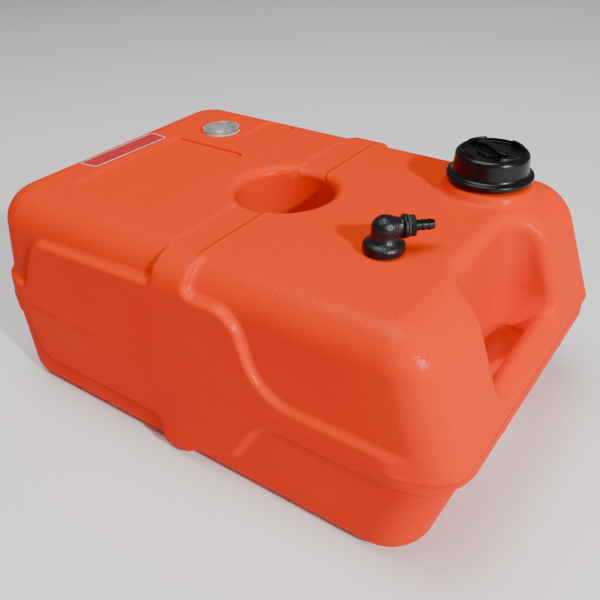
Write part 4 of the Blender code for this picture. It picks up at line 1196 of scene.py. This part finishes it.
class NodeSketch:
    def __init__(self, name, values):
        self.group = bpy.data.node_groups.new(name, "GeometryNodeTree")
        self.ids = {}
        face = self.group.interface
        face.new_socket("Geometry", in_out="INPUT", socket_type="NodeSocketGeometry")
        for label, value in values.items():
            kind = "NodeSocketInt" if isinstance(value, int) else "NodeSocketFloat"
            self.ids[label] = face.new_socket(label, in_out="INPUT", socket_type=kind).identifier
        face.new_socket("Geometry", in_out="OUTPUT", socket_type="NodeSocketGeometry")
        self.values = values
        self.source = self.group.nodes.new("NodeGroupInput").outputs

    def add(self, kind, inputs=(), **settings):
        node = self.group.nodes.new(kind)
        for key, value in settings.items():
            setattr(node, key, value)
        for key, value in dict(inputs).items():
            if isinstance(value, bpy.types.NodeSocket):
                self.group.links.new(value, node.inputs[key])
            else:
                node.inputs[key].default_value = value
        return node.outputs

    def maths(self, operation, first, second=0.0):
        return self.add("ShaderNodeMath", {0: first, 1: second}, operation=operation)[0]

    def finish(self, geometry, look):
        real = self.add("GeometryNodeRealizeInstances", {"Geometry": geometry})[0]
        done = self.add("GeometryNodeSetMaterial", {"Geometry": real, "Material": looks[look]})[0]
        sink = self.group.nodes.new("NodeGroupOutput")
        self.group.links.new(done, sink.inputs[0])

    def grow(self, host):
        modifier = host.modifiers.new("Grow", "NODES")
        modifier.node_group = self.group
        for label, value in self.values.items():
            modifier[self.ids[label]] = value
        mesh = settled(host)
        bpy.data.objects.remove(host)
        return mesh


ticks = {
    "Count": 10,
    "Radius": 0.0098,
    "Start": math.radians(-45),
    "Step": math.radians(30),
    "Height": 0.21216,
    "Length": 0.0022,
    "Width": 0.0006,
    "Thickness": 0.00012,
}


def gaugeTicks():
    sketch = NodeSketch("dialTicks", ticks)
    value = sketch.source
    dots = sketch.add("GeometryNodePoints", {"Count": value["Count"]})[0]
    index = sketch.add("GeometryNodeInputIndex")[0]
    angle = sketch.maths("ADD", sketch.maths("MULTIPLY", index, value["Step"]), value["Start"])
    x = sketch.maths("MULTIPLY", sketch.maths("COSINE", angle), value["Radius"])
    y = sketch.maths("MULTIPLY", sketch.maths("SINE", angle), value["Radius"])
    spot = sketch.add("ShaderNodeCombineXYZ", {0: x, 1: y, 2: value["Height"]})[0]
    dots = sketch.add("GeometryNodeSetPosition", {"Geometry": dots, "Position": spot})[0]
    sizes = {0: value["Length"], 1: value["Width"], 2: value["Thickness"]}
    size = sketch.add("ShaderNodeCombineXYZ", sizes)[0]
    tick = sketch.add("GeometryNodeMeshCube", {"Size": size})[0]
    turn = sketch.add("ShaderNodeCombineXYZ", {2: angle})[0]
    inputs = {"Points": dots, "Instance": tick, "Rotation": turn}
    marks = sketch.add("GeometryNodeInstanceOnPoints", inputs)[0]
    sketch.finish(marks, "black")
    mesh = sketch.grow(newObject("host", bpy.data.meshes.new("host")))
    mesh.transform(Matrix.Translation(gauge["place"]))
    return addPiece("gaugeTicks", mesh, "black", "root")


flash = {
    "Thickness": 0.00034,
    "Ripple": 90.0,
    "Least": 0.35,
    "Break": 9.0,
    "Fades from": 0.52,
    "Fades to": 0.42,
    "Faint": 0.15,
    "Spacing": 0.0009,
}
flashArc = math.radians(3)


def partingFlash():
    # A thin irregular line of plastic where the two halves of the mould met
    half, side = shell["length"] / 2, shell["width"] / 2
    rear, front = shell["planRadius"]
    corners = [
        (-half, -side, rear),
        (half, -side, front),
        (half, side, front),
        (-half, side, rear),
    ]
    path = np.array(roundedPath(corners, flashArc)).T
    points = np.array([path[0], path[1], np.full(path.shape[1], shell["partingZ"])])
    points = pulled(shellField, points, 6)
    points[2] = shell["partingZ"]
    curve = bpy.data.curves.new("flashPath", "CURVE")
    curve.dimensions = "3D"
    spline = curve.splines.new("POLY")
    spline.points.add(points.shape[1] - 1)
    spline.use_cyclic_u = True
    for spot, place in zip(spline.points, points.T):
        spot.co = (*place, 1)
    host = newObject("flashPath", curve)
    sketch = NodeSketch("partingFlash", flash)
    value = sketch.source
    inputs = {"Curve": value["Geometry"], "Length": value["Spacing"]}
    line = sketch.add("GeometryNodeResampleCurve", inputs, mode="LENGTH")[0]
    ripple = sketch.add("ShaderNodeTexNoise", {"Scale": value["Ripple"], "Detail": 2.0})[0]
    gaps = sketch.add("ShaderNodeTexNoise", {"Scale": value["Break"], "Detail": 1.0})[0]
    inputs = {"Value": gaps, "From Min": value["Fades to"], "From Max": value["Fades from"]}
    present = sketch.add("ShaderNodeMapRange", {**inputs, "To Min": value["Faint"]})[0]
    thickness = sketch.maths("MULTIPLY", present, value["Thickness"])
    size = sketch.maths("MULTIPLY", sketch.maths("ADD", ripple, value["Least"]), thickness)
    section = sketch.add("GeometryNodeCurvePrimitiveCircle", {"Resolution": 6, "Radius": 1.0})[0]
    inputs = {"Curve": line, "Profile Curve": section, "Scale": size}
    bead = sketch.add("GeometryNodeCurveToMesh", inputs)[0]
    sketch.finish(bead, "orange")
    mesh = sketch.grow(host)
    mesh.shade_smooth()
    return addPiece("partingFlash", mesh, "orange", "root")


gaugeTicks()
partingFlash()


# Bare sticker at the rear: a red film with a pale keyline, laid on the shell

sticker = {
    "corners": ((-0.215, -0.068), (-0.191, -0.065), (-0.188, 0.0335), (-0.2135, 0.035)),
    "radius": 0.0045,
    "arc": math.radians(9),
    "spacing": 0.0025,
    "above": 0.213,
    "spine": (-0.056, 0.0235),  # the rows of the film close in on this line along y
    "rows": 7,
    "filmLift": 0.00016,
    "footLift": -0.0002,
    "inset": 0.0009,
    "line": 0.0008,
    "lineEdge": 0.00002,
    "lineLifts": (0.00010, 0.00024, 0.00024, 0.00010),
}


def laidOn(points, lift):
    points = pulled(shellField, points, 6)
    slope = gradient(shellField, points)
    return points + lift * slope / np.linalg.norm(slope, axis=0)


def stickerRing(inset):
    corners = [(x, y, sticker["radius"]) for x, y in sticker["corners"]]
    ring = np.array(roundedPath(corners, sticker["arc"])).T
    rows = []
    for start, end in zip(ring.T, np.roll(ring, -1, 1).T):
        count = max(1, round(float(np.linalg.norm(end - start)) / sticker["spacing"]))
        rows += [start + (end - start) * k / count for k in range(count)]
    ring = np.array(rows).T
    ahead = np.roll(ring, -1, 1) - np.roll(ring, 1, 1)
    inward = np.array([-ahead[1], ahead[0]]) / np.linalg.norm(ahead, axis=0)
    return ring + inward * inset


def laidRows(rows, lift):
    flat = np.array(rows).transpose(1, 0, 2)
    high = np.full((1, *flat.shape[1:]), sticker["above"])
    points = np.concatenate([flat, high])
    return laidOn(points.reshape(3, -1), lift).reshape(points.shape)


def stickerFilm():
    edge = stickerRing(0)
    middle = edge.mean(1, keepdims=True)
    spine = np.clip(edge[1], *sticker["spine"])
    spine = np.array([np.full(edge.shape[1], middle[0, 0]), spine])
    rows = [edge + (spine - edge) * share for share in np.linspace(0, 1, sticker["rows"])]
    points = laidRows(rows, sticker["filmLift"])
    foot = laidOn(points[:, 0], sticker["footLift"])[:, None]
    mesh = gridMesh("stickerFilm", np.concatenate([foot, points], axis=1), wrapRows=False)
    return shaded(addPiece("stickerFilm", mesh, "film", "root"), 60)


def stickerLine():
    edge, width = sticker["lineEdge"], sticker["line"]
    offsets = (-edge, 0, width, width + edge)
    points = laidRows([stickerRing(sticker["inset"] + offset) for offset in offsets], 0.0)
    for row, lift in enumerate(sticker["lineLifts"]):
        points[:, row] = laidOn(points[:, row], lift)
    mesh = gridMesh("stickerLine", points, wrapRows=False)
    return shaded(addPiece("stickerLine", mesh, "filmLine", "root"), 60)


stickerFilm()
stickerLine()
print("pieces ready:", len(bpy.data.meshes))


# Studio: pale floor, soft light, camera at the photograph's angle

studio = {
    "azimuth": 35.624,
    "elevation": 33.505,
    "roll": -1.404,
    "place": (0.35762, -0.48934, 0.49039),
    "lens": 42.77,
    "sensor": 36,
    "near": 0.01,
    "floorReach": 6,
    "floorColour": (0.86, 0.86, 0.86),
    "floorPaler": (0.90, 0.90, 0.90),
    "floorRoughness": 0.9,
    "world": 0.15,
    "aim": (0, 0, 0.1),
}
lights = [
    {"name": "key", "place": (2.85, -0.95, 1.9), "size": 0.20, "power": 112},
    {"name": "fill", "place": (2.6, -0.7, 0.9), "size": 1.6, "power": 22},
    {"name": "overhead", "place": (-0.2, -0.3, 2.3), "size": 1.6, "power": 45},
]


def makeCamera():
    angles = (math.radians(studio[key]) for key in ("azimuth", "elevation", "roll"))
    azimuth, elevation, roll = angles
    back = Vector((
        math.sin(azimuth) * math.cos(elevation),
        -math.cos(azimuth) * math.cos(elevation),
        math.sin(elevation),
    ))
    right = Vector((math.cos(azimuth), math.sin(azimuth), 0))
    up = back.cross(right)
    first = right * math.cos(roll) + up * math.sin(roll)
    second = up * math.cos(roll) - right * math.sin(roll)
    turn = Matrix((first, second, back)).transposed().to_4x4()
    camera = newObject("camera", bpy.data.cameras.new("camera"))
    camera.matrix_world = Matrix.Translation(studio["place"]) @ turn
    camera.data.lens = studio["lens"]
    camera.data.sensor_width = studio["sensor"]
    camera.data.clip_start = studio["near"]
    bpy.context.scene.camera = camera


def softLight(form):
    light = bpy.data.lights.new(form["name"], "AREA")
    light.shape = "DISK"
    light.size = form["size"]
    light.energy = form["power"]
    lamp = newObject(form["name"], light)
    lamp.location = form["place"]
    back = Vector(form["place"]) - Vector(studio["aim"])
    lamp.rotation_euler = back.to_track_quat("Z", "Y").to_euler()


def makeFloor():
    reach = studio["floorReach"]
    corners = [(-reach, -reach, 0), (reach, -reach, 0), (reach, reach, 0), (-reach, reach, 0)]
    mesh = bpy.data.meshes.new("floor")
    mesh.from_pydata(corners, [], [(0, 1, 2, 3)])
    material, tree, shader, place = newMaterial("paleFloor")
    cloud = noise(tree, place, 2.0, 2.0)
    colour = mixColour(tree, cloud, studio["floorColour"], studio["floorPaler"])
    tree.links.new(colour, shader.inputs["Base Color"])
    shader.inputs["Roughness"].default_value = studio["floorRoughness"]
    mesh.materials.append(material)
    newObject("floor", mesh)


def makeWorld():
    world = bpy.data.worlds.new("studio")
    world.use_nodes = True
    background = world.node_tree.nodes["Background"]
    background.inputs["Color"].default_value = (1, 1, 1, 1)
    background.inputs["Strength"].default_value = studio["world"]
    bpy.context.scene.world = world


makeCamera()
makeFloor()
makeWorld()
for light in lights:
    softLight(light)
print("studio ready")
